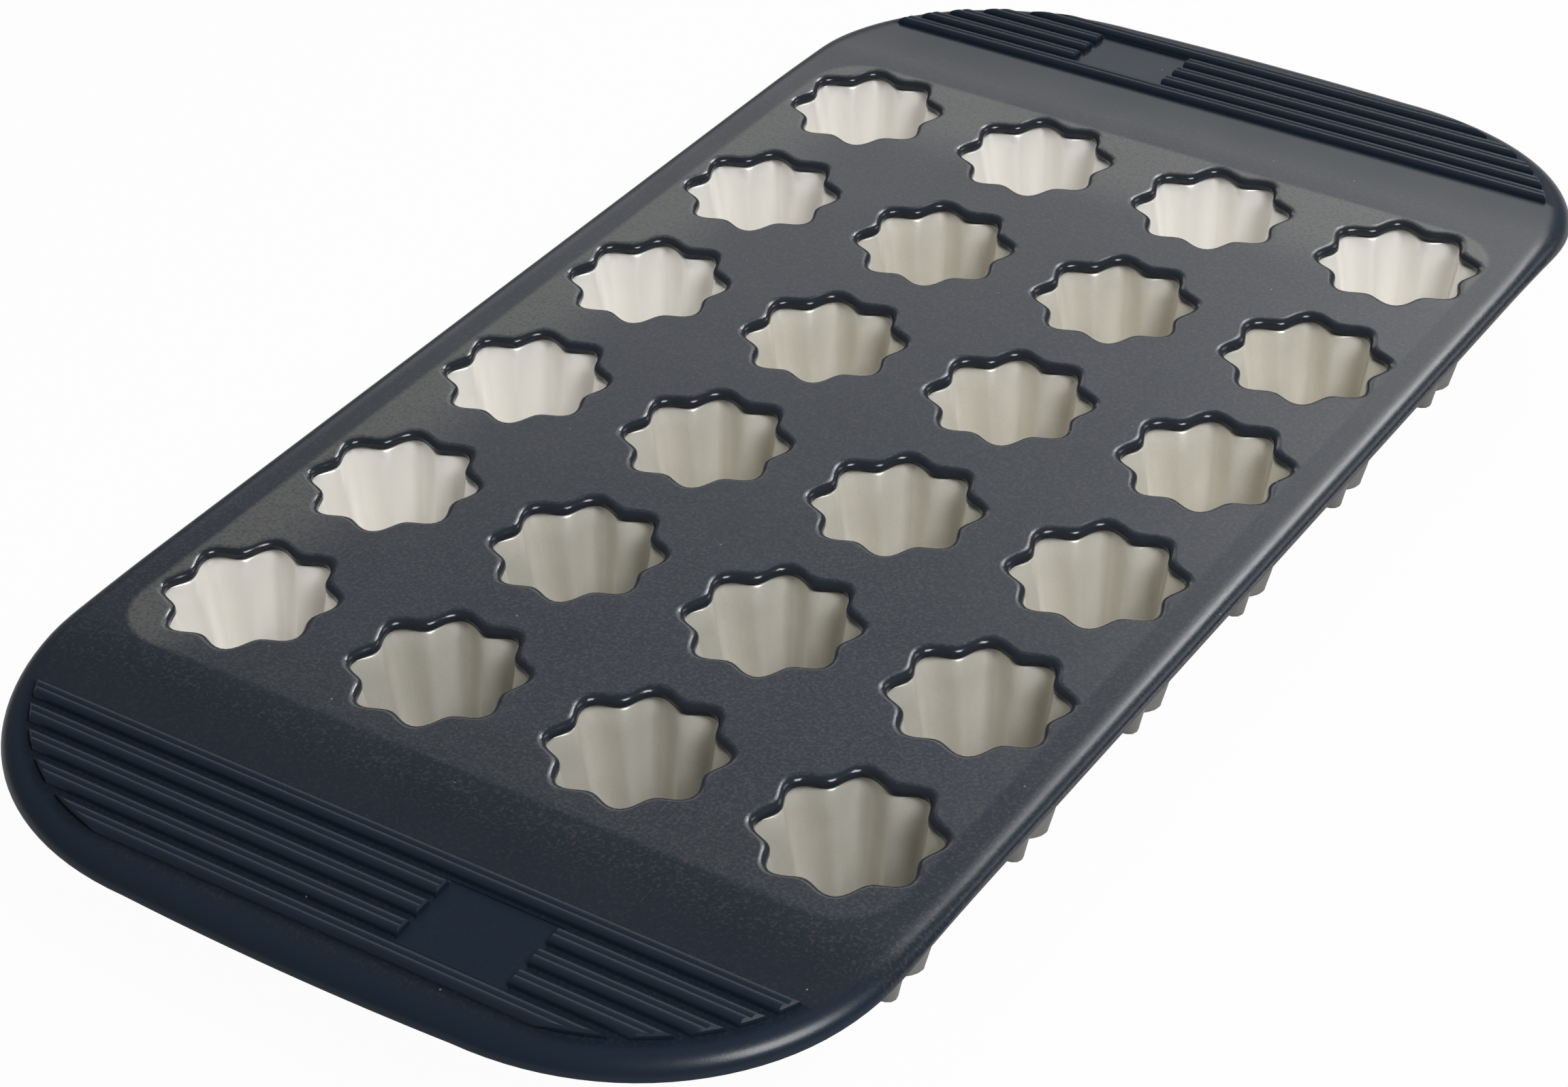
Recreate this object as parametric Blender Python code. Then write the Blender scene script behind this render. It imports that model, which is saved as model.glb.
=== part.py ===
"""Mini canele mould for baking.

A flexible silicone tray with two ribbed grips covers a thin steel carrier
plate.  Fluted cups of drawn aluminium drop through the plate's holes: each
cup hangs by its flange, between the plate and the silicone above it.  The
tray stands on the flat floors of its cups.

Units are metres, +Z is up, X runs across the tray and Y along it.  The
origin is on the table, under the middle of the tray.
"""

import math

import bmesh
import bpy

MM = 0.001

# Grid of cups
COLUMNS = 4
ROWS = 6
PITCH = 44.0 * MM

# Drawn cup, measured inside to the middle of its flutes
CUP_HEIGHT = 28.0 * MM
CUP_WALL = 0.5 * MM
MOUTH_RADIUS = 16.0 * MM
FLOOR_RADIUS = 11.0 * MM
FLOOR_ROUND = 1.6 * MM
FLUTES = 8
MOUTH_FLUTE = 1.2 * MM
FLOOR_FLUTE = 1.0 * MM
FLANGE_LAP = 1.2 * MM

# Carrier plate
PLATE_THICKNESS = 0.8 * MM
PLATE_SIDE_MARGIN = 0.8 * MM
PLATE_END_MARGIN = 2.8 * MM
PLATE_CORNER = 6.0 * MM

# Silicone tray
SKIN_THICKNESS = 2.2 * MM
OPENING_LAP = 0.45 * MM
SIDE_WALL = 5.6 * MM
END_WALL = 2.4 * MM
LIP_THICKNESS = 1.8 * MM
GRIP_LENGTH = 51.8 * MM
GRIP_THICKNESS = 4.4 * MM
CORNER_ACROSS = 53.8 * MM
CORNER_ALONG = 49.9 * MM
CORNER_FULLNESS = 2.08
END_BOW = 5.4 * MM

# Rim of the tray: rounded on top, tapered back below, thicker round the grips
RIM_ROUND_WIDTH = 4.0 * MM
RIM_ROUND_DEPTH = 2.0 * MM
RIM_FULLNESS = 2.5
RIM_THICKNESS = 4.6 * MM
SIDE_EDGE_DEPTH = 2.2 * MM
END_EDGE_DEPTH = 3.8 * MM
SIDE_STRAIGHT = 108.0 * MM
EDGE_RUN = 52.0 * MM
SKIRT_INSET = 2.8 * MM

# Ribs on the grips
RIBS = 5
RIB_SPACING = 5.5 * MM
RIB_START = 20.5 * MM
RIB_WIDTH = 4.0 * MM
RIB_CREST = 2.4 * MM
RIB_HEIGHT = 1.4 * MM
RIB_GROOVE_WIDTH = 0.7 * MM
RIB_GROOVE_DEPTH = 0.5 * MM
RIB_END_INSET = 5.6 * MM
PANEL_CENTRE = 26.5 * MM
PANEL_WIDTH = 23.0 * MM

# The grips slope down a little past the plate
GRIP_SLOPE = 0.066
BEND_START = 2.0 * MM
BEND_HALF_LENGTH = 5.0 * MM

# Clearances
SEAT_GAP = 0.3 * MM
HOLE_GAP = 0.3 * MM
POCKET_GAP = 0.3 * MM
LIP_GAP = 0.4 * MM

# Fineness of the facets
POINTS_PER_FLUTE = 4
FACET_GAIN = 1.2
FLANGE_POINTS = 16
CORNER_STEPS = 10
END_STEPS = 3
RIM_STEPS = 3
PLATE_CORNER_STEPS = 3
BEND_STEPS = 3
OVERCUT = 1.0 * MM

# Heights, from the table up
FLANGE_UNDERSIDE = CUP_HEIGHT - CUP_WALL
PLATE_TOP = FLANGE_UNDERSIDE - SEAT_GAP
PLATE_UNDERSIDE = PLATE_TOP - PLATE_THICKNESS
LIP_TOP = PLATE_UNDERSIDE - SEAT_GAP
TRAY_UNDERSIDE = LIP_TOP - LIP_THICKNESS
SKIN_UNDERSIDE = CUP_HEIGHT + SEAT_GAP
TRAY_TOP = SKIN_UNDERSIDE + SKIN_THICKNESS
GRIP_UNDERSIDE = TRAY_TOP - GRIP_THICKNESS

# Radii round one cup
CUP_REACH = MOUTH_RADIUS + MOUTH_FLUTE + CUP_WALL
HOLE_RADIUS = CUP_REACH + HOLE_GAP
FLANGE_RADIUS = HOLE_RADIUS + FLANGE_LAP

# Half widths and half lengths, from the middle of the tray out
GRID_HALF_WIDTH = (COLUMNS - 1) * PITCH / 2
GRID_HALF_LENGTH = (ROWS - 1) * PITCH / 2
PLATE_HALF_WIDTH = GRID_HALF_WIDTH + FLANGE_RADIUS + PLATE_SIDE_MARGIN
PLATE_HALF_LENGTH = GRID_HALF_LENGTH + FLANGE_RADIUS + PLATE_END_MARGIN
POCKET_HALF_WIDTH = PLATE_HALF_WIDTH + POCKET_GAP
POCKET_HALF_LENGTH = PLATE_HALF_LENGTH + POCKET_GAP
TRAY_HALF_WIDTH = POCKET_HALF_WIDTH + SIDE_WALL
TRAY_HALF_LENGTH = PLATE_HALF_LENGTH + GRIP_LENGTH
LIP_END = POCKET_HALF_LENGTH + END_WALL

SILICONE = ("silicone", (0.030, 0.038, 0.050), 0.55, 0.0)
STEEL = ("coated_steel", (0.10, 0.10, 0.10), 0.50, 0.6)
ALUMINIUM = ("coated_aluminium", (0.52, 0.50, 0.44), 0.42, 0.7)


def clear_scene():
    """Remove every object that the scene starts with."""
    for item in list(bpy.data.objects):
        bpy.data.objects.remove(item, do_unlink=True)


def make_material(name, colour, roughness, metallic):
    """Return a Principled material of one colour."""
    material = bpy.data.materials.new(name)
    material.use_nodes = True
    shader = material.node_tree.nodes["Principled BSDF"]
    shader.inputs["Base Color"].default_value = (*colour, 1.0)
    shader.inputs["Roughness"].default_value = roughness
    shader.inputs["Metallic"].default_value = metallic
    return material


def make_object(name, shape, finish=None):
    """Turn a bmesh into an object with its faces pointing out."""
    bmesh.ops.recalc_face_normals(shape, faces=shape.faces)
    mesh = bpy.data.meshes.new(name)
    shape.to_mesh(mesh)
    shape.free()
    item = bpy.data.objects.new(name, mesh)
    bpy.context.collection.objects.link(item)
    if finish:
        mesh.materials.append(make_material(*finish))
    return item


def lifted(outline, height):
    """Give a flat outline its height."""
    return [(x, y, height) for x, y in outline]


def fluted_outline(centre, radius, flute):
    """Points round a fluted shape, with a valley on each axis."""
    count = FLUTES * POINTS_PER_FLUTE
    wave = flute * FACET_GAIN
    points = []
    for index in range(count):
        angle = 2 * math.pi * (index + 0.5) / count
        reach = radius - wave * math.cos(FLUTES * angle)
        points.append((centre[0] + reach * math.cos(angle), centre[1] + reach * math.sin(angle)))
    return points


def round_outline(centre, radius):
    """Points of a many-sided circle whose flats lie at the radius."""
    corner = radius / math.cos(math.pi / FLANGE_POINTS)
    points = []
    for index in range(FLANGE_POINTS):
        angle = 2 * math.pi * (index + 0.5) / FLANGE_POINTS
        points.append((centre[0] + corner * math.cos(angle), centre[1] + corner * math.sin(angle)))
    return points


def box_outline(half_width, half_length, corner, steps):
    """Points of a rectangle with round corners."""
    points = []
    for quarter, (side, end) in enumerate(((1, 1), (-1, 1), (-1, -1), (1, -1))):
        for step in range(steps + 1):
            angle = math.pi / 2 * (quarter + step / steps)
            x = side * (half_width - corner) + corner * math.cos(angle)
            y = end * (half_length - corner) + corner * math.sin(angle)
            points.append((x, y))
    return points


def tray_quarter():
    """Points round one corner of the tray and on to the middle of its end."""
    end_x = TRAY_HALF_WIDTH - CORNER_ACROSS
    points = []
    for step in range(CORNER_STEPS + 1):
        angle = math.pi / 2 * step / CORNER_STEPS
        across = max(math.cos(angle), 0.0) ** (2 / CORNER_FULLNESS)
        along = math.sin(angle) ** (2 / CORNER_FULLNESS)
        x = end_x + CORNER_ACROSS * across
        y = tray_end(end_x) - CORNER_ALONG + CORNER_ALONG * along
        points.append((x, y))
    for step in range(1, END_STEPS + 1):
        x = end_x * (1 - step / END_STEPS)
        points.append((x, tray_end(x)))
    return points


def tray_end(x):
    """How far the bowed end of the tray reaches at this x."""
    return TRAY_HALF_LENGTH - END_BOW * (x / TRAY_HALF_WIDTH) ** 2


def tray_outline(inset):
    """Points of the tray's outline, drawn in by the inset."""
    quarter = [(TRAY_HALF_WIDTH, SIDE_STRAIGHT), *tray_quarter()]
    back = [(-x, y) for x, y in reversed(quarter[:-1])]
    half = quarter + back
    front = [(-x, -y) for x, y in half]
    outline = half + front
    points = []
    for index, (x, y) in enumerate(outline):
        before = outline[index - 1]
        after = outline[(index + 1) % len(outline)]
        run_x = after[0] - before[0]
        run_y = after[1] - before[1]
        length = math.hypot(run_x, run_y)
        points.append((x - inset * run_y / length, y + inset * run_x / length))
    return points


def bridge(shape, lower, upper):
    """Join two rings of points; the first may have several points to each of the second."""
    ratio = len(lower) // len(upper)
    for index, corner in enumerate(upper):
        following = (index + 1) % len(upper)
        run = [lower[(index * ratio + step) % len(lower)] for step in range(ratio + 1)]
        shape.faces.new([upper[following], corner, *run])


def add_loft(shape, sections):
    """Add one closed body through a row of rings, capped at both ends."""
    rings = []
    for section in sections:
        rings.append([shape.verts.new(point) for point in section])
    shape.faces.new(rings[0])
    shape.faces.new(rings[-1])
    for lower, upper in zip(rings, rings[1:]):
        if len(lower) >= len(upper):
            bridge(shape, lower, upper)
        else:
            bridge(shape, upper, lower)


def add_block(shape, low, high):
    """Add a box between two corners."""
    outline = [(low[0], low[1]), (high[0], low[1]), (high[0], high[1]), (low[0], high[1])]
    add_loft(shape, [lifted(outline, low[2]), lifted(outline, high[2])])


def combine(item, tool, operation):
    """Cut, join or trim an object with another, which is used up."""
    modifier = item.modifiers.new(operation.lower(), "BOOLEAN")
    modifier.operation = operation
    modifier.solver = "EXACT"
    modifier.object = tool
    graph = bpy.context.evaluated_depsgraph_get()
    graph.update()
    result = bpy.data.meshes.new_from_object(item.evaluated_get(graph))
    item.modifiers.remove(modifier)
    item.data = result
    bpy.data.objects.remove(tool, do_unlink=True)


def cup_centres():
    """Each cup's row, column and place in plan, from the back left."""
    for row in range(ROWS):
        for column in range(COLUMNS):
            x = column * PITCH - GRID_HALF_WIDTH
            y = GRID_HALF_LENGTH - row * PITCH
            yield row, column, (x, y)


def make_cup_mesh():
    """Mesh of one drawn cup: fluted tapering wall, round-edged floor and flat flange."""
    centre = (0.0, 0.0)
    inside_height = CUP_HEIGHT - CUP_WALL
    taper = (MOUTH_RADIUS - FLOOR_RADIUS) / inside_height
    heel = FLOOR_RADIUS + taper * FLOOR_ROUND + CUP_WALL
    floor = FLOOR_RADIUS + CUP_WALL - FLOOR_ROUND
    neck = MOUTH_RADIUS + CUP_WALL
    sections = [
        lifted(fluted_outline(centre, FLOOR_RADIUS, FLOOR_FLUTE), CUP_WALL),
        lifted(fluted_outline(centre, MOUTH_RADIUS, MOUTH_FLUTE), CUP_HEIGHT),
        lifted(round_outline(centre, FLANGE_RADIUS), CUP_HEIGHT),
        lifted(round_outline(centre, FLANGE_RADIUS), FLANGE_UNDERSIDE),
        lifted(fluted_outline(centre, neck, MOUTH_FLUTE), FLANGE_UNDERSIDE),
        lifted(fluted_outline(centre, heel, FLOOR_FLUTE), FLOOR_ROUND),
        lifted(fluted_outline(centre, floor, FLOOR_FLUTE), 0.0),
    ]
    shape = bmesh.new()
    add_loft(shape, sections)
    floors = [face for face in shape.faces if len(face.verts) == FLUTES * POINTS_PER_FLUTE]
    bmesh.ops.poke(shape, faces=floors)
    return shape


def make_cups():
    """One drawn cup under each opening, all of one mesh."""
    first = None
    for row, column, (x, y) in cup_centres():
        name = f"cup_r{row + 1}c{column + 1}"
        if first is None:
            cup = make_object(name, make_cup_mesh(), ALUMINIUM)
            cup.data.shade_smooth()
            cup.data.set_sharp_from_angle(angle=math.radians(40))
            first = cup
        else:
            cup = bpy.data.objects.new(name, first.data)
            bpy.context.collection.objects.link(cup)
        cup.location = (x, y, 0.0)


def make_plate():
    """Thin steel plate with a round hole for each cup."""
    outline = box_outline(PLATE_HALF_WIDTH, PLATE_HALF_LENGTH, PLATE_CORNER, PLATE_CORNER_STEPS)
    sheet = bmesh.new()
    add_loft(sheet, [lifted(outline, PLATE_UNDERSIDE), lifted(outline, PLATE_TOP)])
    plate = make_object("carrier_plate", sheet, STEEL)
    punches = bmesh.new()
    for _row, _column, centre in cup_centres():
        outline = round_outline(centre, HOLE_RADIUS)
        low = lifted(outline, PLATE_UNDERSIDE - OVERCUT)
        high = lifted(outline, PLATE_TOP + OVERCUT)
        add_loft(punches, [low, high])
    combine(plate, make_object("punches", punches), "DIFFERENCE")


def make_rib_bars():
    """Long grooved bars for both grips, before their ends are trimmed."""
    root = TRAY_TOP - OVERCUT
    crest = TRAY_TOP + RIB_HEIGHT
    profile = [
        (-RIB_WIDTH / 2, root),
        (-RIB_WIDTH / 2, TRAY_TOP),
        (-RIB_CREST / 2, crest),
        (-RIB_GROOVE_WIDTH / 2, crest),
        (0.0, crest - RIB_GROOVE_DEPTH),
        (RIB_GROOVE_WIDTH / 2, crest),
        (RIB_CREST / 2, crest),
        (RIB_WIDTH / 2, TRAY_TOP),
        (RIB_WIDTH / 2, root),
    ]
    bars = bmesh.new()
    for end in (-1, 1):
        for rib in range(RIBS):
            middle = end * (PLATE_HALF_LENGTH + RIB_START + rib * RIB_SPACING)
            left = [(-TRAY_HALF_WIDTH, middle + y, z) for y, z in profile]
            right = [(TRAY_HALF_WIDTH, middle + y, z) for y, z in profile]
            add_loft(bars, [left, right])
    return make_object("rib_bars", bars)


def make_rib_trim():
    """Prism inside the rim, which the ribs' ends follow."""
    outline = tray_outline(RIB_END_INSET)
    trim = bmesh.new()
    low = lifted(outline, TRAY_TOP - 2 * OVERCUT)
    high = lifted(outline, TRAY_TOP + RIB_HEIGHT + OVERCUT)
    add_loft(trim, [low, high])
    return make_object("rib_trim", trim)


def make_panel_gaps():
    """Blocks that break the inner ribs for a bare panel on each grip."""
    start = PLATE_HALF_LENGTH + RIB_START + RIB_SPACING / 2
    stop = start + (RIBS - 2) * RIB_SPACING
    bottom = TRAY_TOP - 2 * OVERCUT
    top = TRAY_TOP + RIB_HEIGHT + OVERCUT
    gaps = bmesh.new()
    for end in (-1, 1):
        middle = -end * PANEL_CENTRE
        near, far = sorted((end * start, end * stop))
        low = (middle - PANEL_WIDTH / 2, near, bottom)
        high = (middle + PANEL_WIDTH / 2, far, top)
        add_block(gaps, low, high)
    return make_object("panel_gaps", gaps)


def edge_depth(y):
    """Depth of the rim's outermost edge at this y: least along the sides, most at the ends."""
    share = min(max((abs(y) - SIDE_STRAIGHT) / EDGE_RUN, 0.0), 1.0)
    ease = share * share * (3 - 2 * share)
    return SIDE_EDGE_DEPTH + (END_EDGE_DEPTH - SIDE_EDGE_DEPTH) * ease


def make_tray_blank():
    """Solid tray with its skirt and its rounded rim, before anything is cut from it."""
    skirt = tray_outline(SKIRT_INSET)
    edge = [(x, y, TRAY_TOP - edge_depth(y)) for x, y in tray_outline(0.0)]
    sections = [lifted(skirt, TRAY_UNDERSIDE), lifted(skirt, TRAY_TOP - RIM_THICKNESS), edge]
    for step in range(RIM_STEPS + 1):
        angle = math.pi / 2 * (1 - step / RIM_STEPS)
        across = math.sin(angle) ** (2 / RIM_FULLNESS)
        up = max(math.cos(angle), 0.0) ** (2 / RIM_FULLNESS)
        outline = tray_outline(RIM_ROUND_WIDTH * (1 - across))
        sections.append(lifted(outline, TRAY_TOP - RIM_ROUND_DEPTH * (1 - up)))
    blank = bmesh.new()
    add_loft(blank, sections)
    return make_object("silicone_frame", blank, SILICONE)


def make_pocket():
    """Stepped cutter: a window in the underside, and above it the plate's pocket."""
    window_half_width = GRID_HALF_WIDTH + CUP_REACH + LIP_GAP
    window_half_length = GRID_HALF_LENGTH + CUP_REACH + LIP_GAP
    window = box_outline(window_half_width, window_half_length, PLATE_CORNER, PLATE_CORNER_STEPS)
    pocket = box_outline(POCKET_HALF_WIDTH, POCKET_HALF_LENGTH, PLATE_CORNER, PLATE_CORNER_STEPS)
    cutter = bmesh.new()
    sections = [
        lifted(window, TRAY_UNDERSIDE - OVERCUT),
        lifted(window, LIP_TOP),
        lifted(pocket, LIP_TOP),
        lifted(pocket, SKIN_UNDERSIDE),
    ]
    add_loft(cutter, sections)
    return make_object("pocket", cutter)


def make_grip_cutters():
    """Blocks that thin the two grips from below, beyond the plate's border."""
    cutters = bmesh.new()
    reach = TRAY_HALF_LENGTH + OVERCUT
    width = TRAY_HALF_WIDTH + OVERCUT
    bottom = TRAY_UNDERSIDE - OVERCUT
    for near, far in ((-reach, -LIP_END), (LIP_END, reach)):
        add_block(cutters, (-width, near, bottom), (width, far, GRIP_UNDERSIDE))
    return make_object("grip_cutters", cutters)


def make_opening_cutters():
    """Fluted prisms that open the silicone over each cup."""
    cutters = bmesh.new()
    for _row, _column, centre in cup_centres():
        outline = fluted_outline(centre, MOUTH_RADIUS - OPENING_LAP, MOUTH_FLUTE)
        low = lifted(outline, SKIN_UNDERSIDE - SEAT_GAP / 2)
        high = lifted(outline, TRAY_TOP + OVERCUT)
        add_loft(cutters, [low, high])
    return make_object("opening_cutters", cutters)


def bend_stations():
    """Distances along the tray where the grips bend, each with its drop."""
    middle = PLATE_HALF_LENGTH + BEND_START
    stations = []
    for step in range(BEND_STEPS + 1):
        run = 2 * BEND_HALF_LENGTH * step / BEND_STEPS
        drop = GRIP_SLOPE * run ** 2 / (4 * BEND_HALF_LENGTH)
        stations.append((middle - BEND_HALF_LENGTH + run, drop))
    return stations


def grip_drop(distance, stations):
    """Drop of the sloping grip at a distance from the tray's middle."""
    before, drop = stations[0]
    if distance <= before:
        return 0.0
    for station, lower in stations[1:]:
        if distance <= station:
            return drop + (lower - drop) * (distance - before) / (station - before)
        before, drop = station, lower
    return drop + GRIP_SLOPE * (distance - before)


def slope_grips(tray):
    """Let the two grips slope down past the ends of the plate."""
    stations = bend_stations()
    shape = bmesh.new()
    shape.from_mesh(tray.data)
    for end in (-1, 1):
        for distance, _drop in stations:
            parts = shape.verts[:] + shape.edges[:] + shape.faces[:]
            bmesh.ops.bisect_plane(shape, geom=parts, plane_co=(0, end * distance, 0), plane_no=(0, end, 0))
    for point in shape.verts:
        point.co.z -= grip_drop(abs(point.co.y), stations)
    shape.to_mesh(tray.data)
    shape.free()


def make_tray():
    """Silicone tray: rim, plate pocket, fluted openings, ribbed sloping grips."""
    tray = make_tray_blank()
    combine(tray, make_grip_cutters(), "DIFFERENCE")
    combine(tray, make_pocket(), "DIFFERENCE")
    combine(tray, make_opening_cutters(), "DIFFERENCE")
    ribs = make_rib_bars()
    combine(ribs, make_rib_trim(), "INTERSECT")
    combine(ribs, make_panel_gaps(), "DIFFERENCE")
    combine(tray, ribs, "UNION")
    slope_grips(tray)
    tray.data.shade_smooth()
    tray.data.set_sharp_from_angle(angle=math.radians(35))


def main():
    """Build the whole mould."""
    clear_scene()
    make_tray()
    make_plate()
    make_cups()


main()
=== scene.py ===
"""Looks of the mini canele mould: silicone tray, carrier plate and fluted cups.

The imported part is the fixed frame.  Each sub-assembly is a class that holds
its sizes, models its pieces with Blender's operators and gives them their
finish.  Units are metres, +Z is up, X runs across the tray and Y along it.
"""

from __future__ import annotations

import logging
import math
from collections.abc import Callable, Iterator, Sequence
from contextlib import contextmanager
from dataclasses import dataclass, field
from enum import Enum

import bmesh
import bpy
from mathutils import Matrix, Vector


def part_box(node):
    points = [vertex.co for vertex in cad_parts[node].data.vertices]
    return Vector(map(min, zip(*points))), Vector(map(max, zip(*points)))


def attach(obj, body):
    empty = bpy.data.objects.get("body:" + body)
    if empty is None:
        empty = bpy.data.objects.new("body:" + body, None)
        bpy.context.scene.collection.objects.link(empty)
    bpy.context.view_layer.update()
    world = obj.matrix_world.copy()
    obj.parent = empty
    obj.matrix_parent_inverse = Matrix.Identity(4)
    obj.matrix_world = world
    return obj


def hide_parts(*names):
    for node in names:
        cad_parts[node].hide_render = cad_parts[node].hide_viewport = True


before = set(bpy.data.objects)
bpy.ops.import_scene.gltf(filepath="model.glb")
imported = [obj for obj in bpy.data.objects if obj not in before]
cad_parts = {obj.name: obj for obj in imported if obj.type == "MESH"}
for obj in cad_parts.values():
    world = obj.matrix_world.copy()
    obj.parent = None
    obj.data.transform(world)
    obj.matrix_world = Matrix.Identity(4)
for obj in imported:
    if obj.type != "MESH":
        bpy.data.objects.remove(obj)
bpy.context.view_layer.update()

MM = 0.001
BODY = "root"
LOG = logging.getLogger("canele_mould")

Point = tuple[float, float]
Place = tuple[float, float, float]
Section = tuple[float, float, float]
Colour = tuple[float, float, float]
Span = tuple[float, float]
Item = bpy.types.Object
Socket = bpy.types.NodeSocket


class Slot(Enum):
    """Names of three material slots; no piece in this script takes its finish from them."""

    SILICONE = "silicone"
    ALUMINIUM = "coated_aluminium"
    STEEL = "coated_steel"


@dataclass(frozen=True)
class Layout:
    """Grid of the cups and the heights that the pieces share, read from the frame.

    Attributes:
        columns: Cups across the tray.
        rows: Cups along the tray.
        pitch: Distance between the middles of two cups.
        cup_top: Height of the cups' flanges.
        skin: Thickness of the silicone over the flanges.
        seat_gap: Clearance between pieces that lie on each other.
    """

    columns: int = 4
    rows: int = 6
    pitch: float = 44.0 * MM
    cup_top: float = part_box("cup_r1c1")[1].z
    skin: float = 2.2 * MM
    seat_gap: float = 0.3 * MM

    @property
    def skin_underside(self) -> float:
        """Underside of the silicone over the cups."""
        return self.cup_top + self.seat_gap

    @property
    def sheet_top(self) -> float:
        """Top of the flat silicone sheet."""
        return self.skin_underside + self.skin

    @property
    def corner_cup(self) -> Point:
        """Middle of the back right cup."""
        return (self.columns - 1) / 2 * self.pitch, (self.rows - 1) / 2 * self.pitch

    @property
    def flange_radius(self) -> float:
        """Radius of a cup's flange."""
        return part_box("cup_r1c1")[1].x + self.corner_cup[0]

    def cups(self) -> Iterator[tuple[str, Point]]:
        """Yield each cup's node name and its middle in plan, from the back left."""
        for row in range(self.rows):
            for column in range(self.columns):
                x = (column - (self.columns - 1) / 2) * self.pitch
                y = ((self.rows - 1) / 2 - row) * self.pitch
                yield f"cup_r{row + 1}c{column + 1}", (x, y)


@dataclass(frozen=True)
class Flutes:
    """Wave that runs round a cup and round the opening over it.

    Attributes:
        count: Flutes round the cup.
        points: Points round one outline.
    """

    count: int = 8
    points: int = 96

    def ring(self, radius: float, depth: float, height: float) -> list[Place]:
        """Fluted ring round the origin, with a valley on each axis.

        Args:
            radius: Middle of the wave.
            depth: Half of the wave's height.
            height: Height of the ring.

        Returns:
            Places in order, anticlockwise.
        """
        places = []
        for index in range(self.points):
            angle = 2 * math.pi * (index + 0.5) / self.points
            reach = radius - depth * math.cos(self.count * angle)
            places.append((reach * math.cos(angle), reach * math.sin(angle), height))
        return places


def smooth(share: float) -> float:
    """Ease a share between 0 and 1 in and out."""
    share = min(max(share, 0.0), 1.0)
    return share * share * (3 - 2 * share)


def past(start: float, span: Span) -> Span:
    """Move a span on by a start."""
    return start + span[0], start + span[1]


def new_object(name: str, data: bpy.types.ID) -> Item:
    """Put a new object in the scene.

    Args:
        name: The object's name.
        data: Its mesh, lamp or camera.

    Returns:
        The object.
    """
    item = bpy.data.objects.new(name, data)
    bpy.context.scene.collection.objects.link(item)
    return item


def round_box(half: Point, corner: float, steps: int) -> list[Point]:
    """Outline of a rectangle with round corners.

    Args:
        half: Half of its size across and along.
        corner: Radius of its corners.
        steps: Edges round each corner.

    Returns:
        Points in order, anticlockwise.
    """
    points = []
    for quarter, (side, end) in enumerate(((1, 1), (-1, 1), (-1, -1), (1, -1))):
        for step in range(steps + 1):
            angle = math.pi / 2 * (quarter + step / steps)
            x = side * (half[0] - corner) + corner * math.cos(angle)
            y = end * (half[1] - corner) + corner * math.sin(angle)
            points.append((x, y))
    return points


def circle(centre: Point, radius: float, count: int) -> list[Point]:
    """Outline of a circle.

    Args:
        centre: Its middle in plan.
        radius: Its radius.
        count: Points round it.

    Returns:
        Points in order, anticlockwise.
    """
    angles = [2 * math.pi * (index + 0.5) / count for index in range(count)]
    return [(centre[0] + radius * math.cos(a), centre[1] + radius * math.sin(a)) for a in angles]


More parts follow.
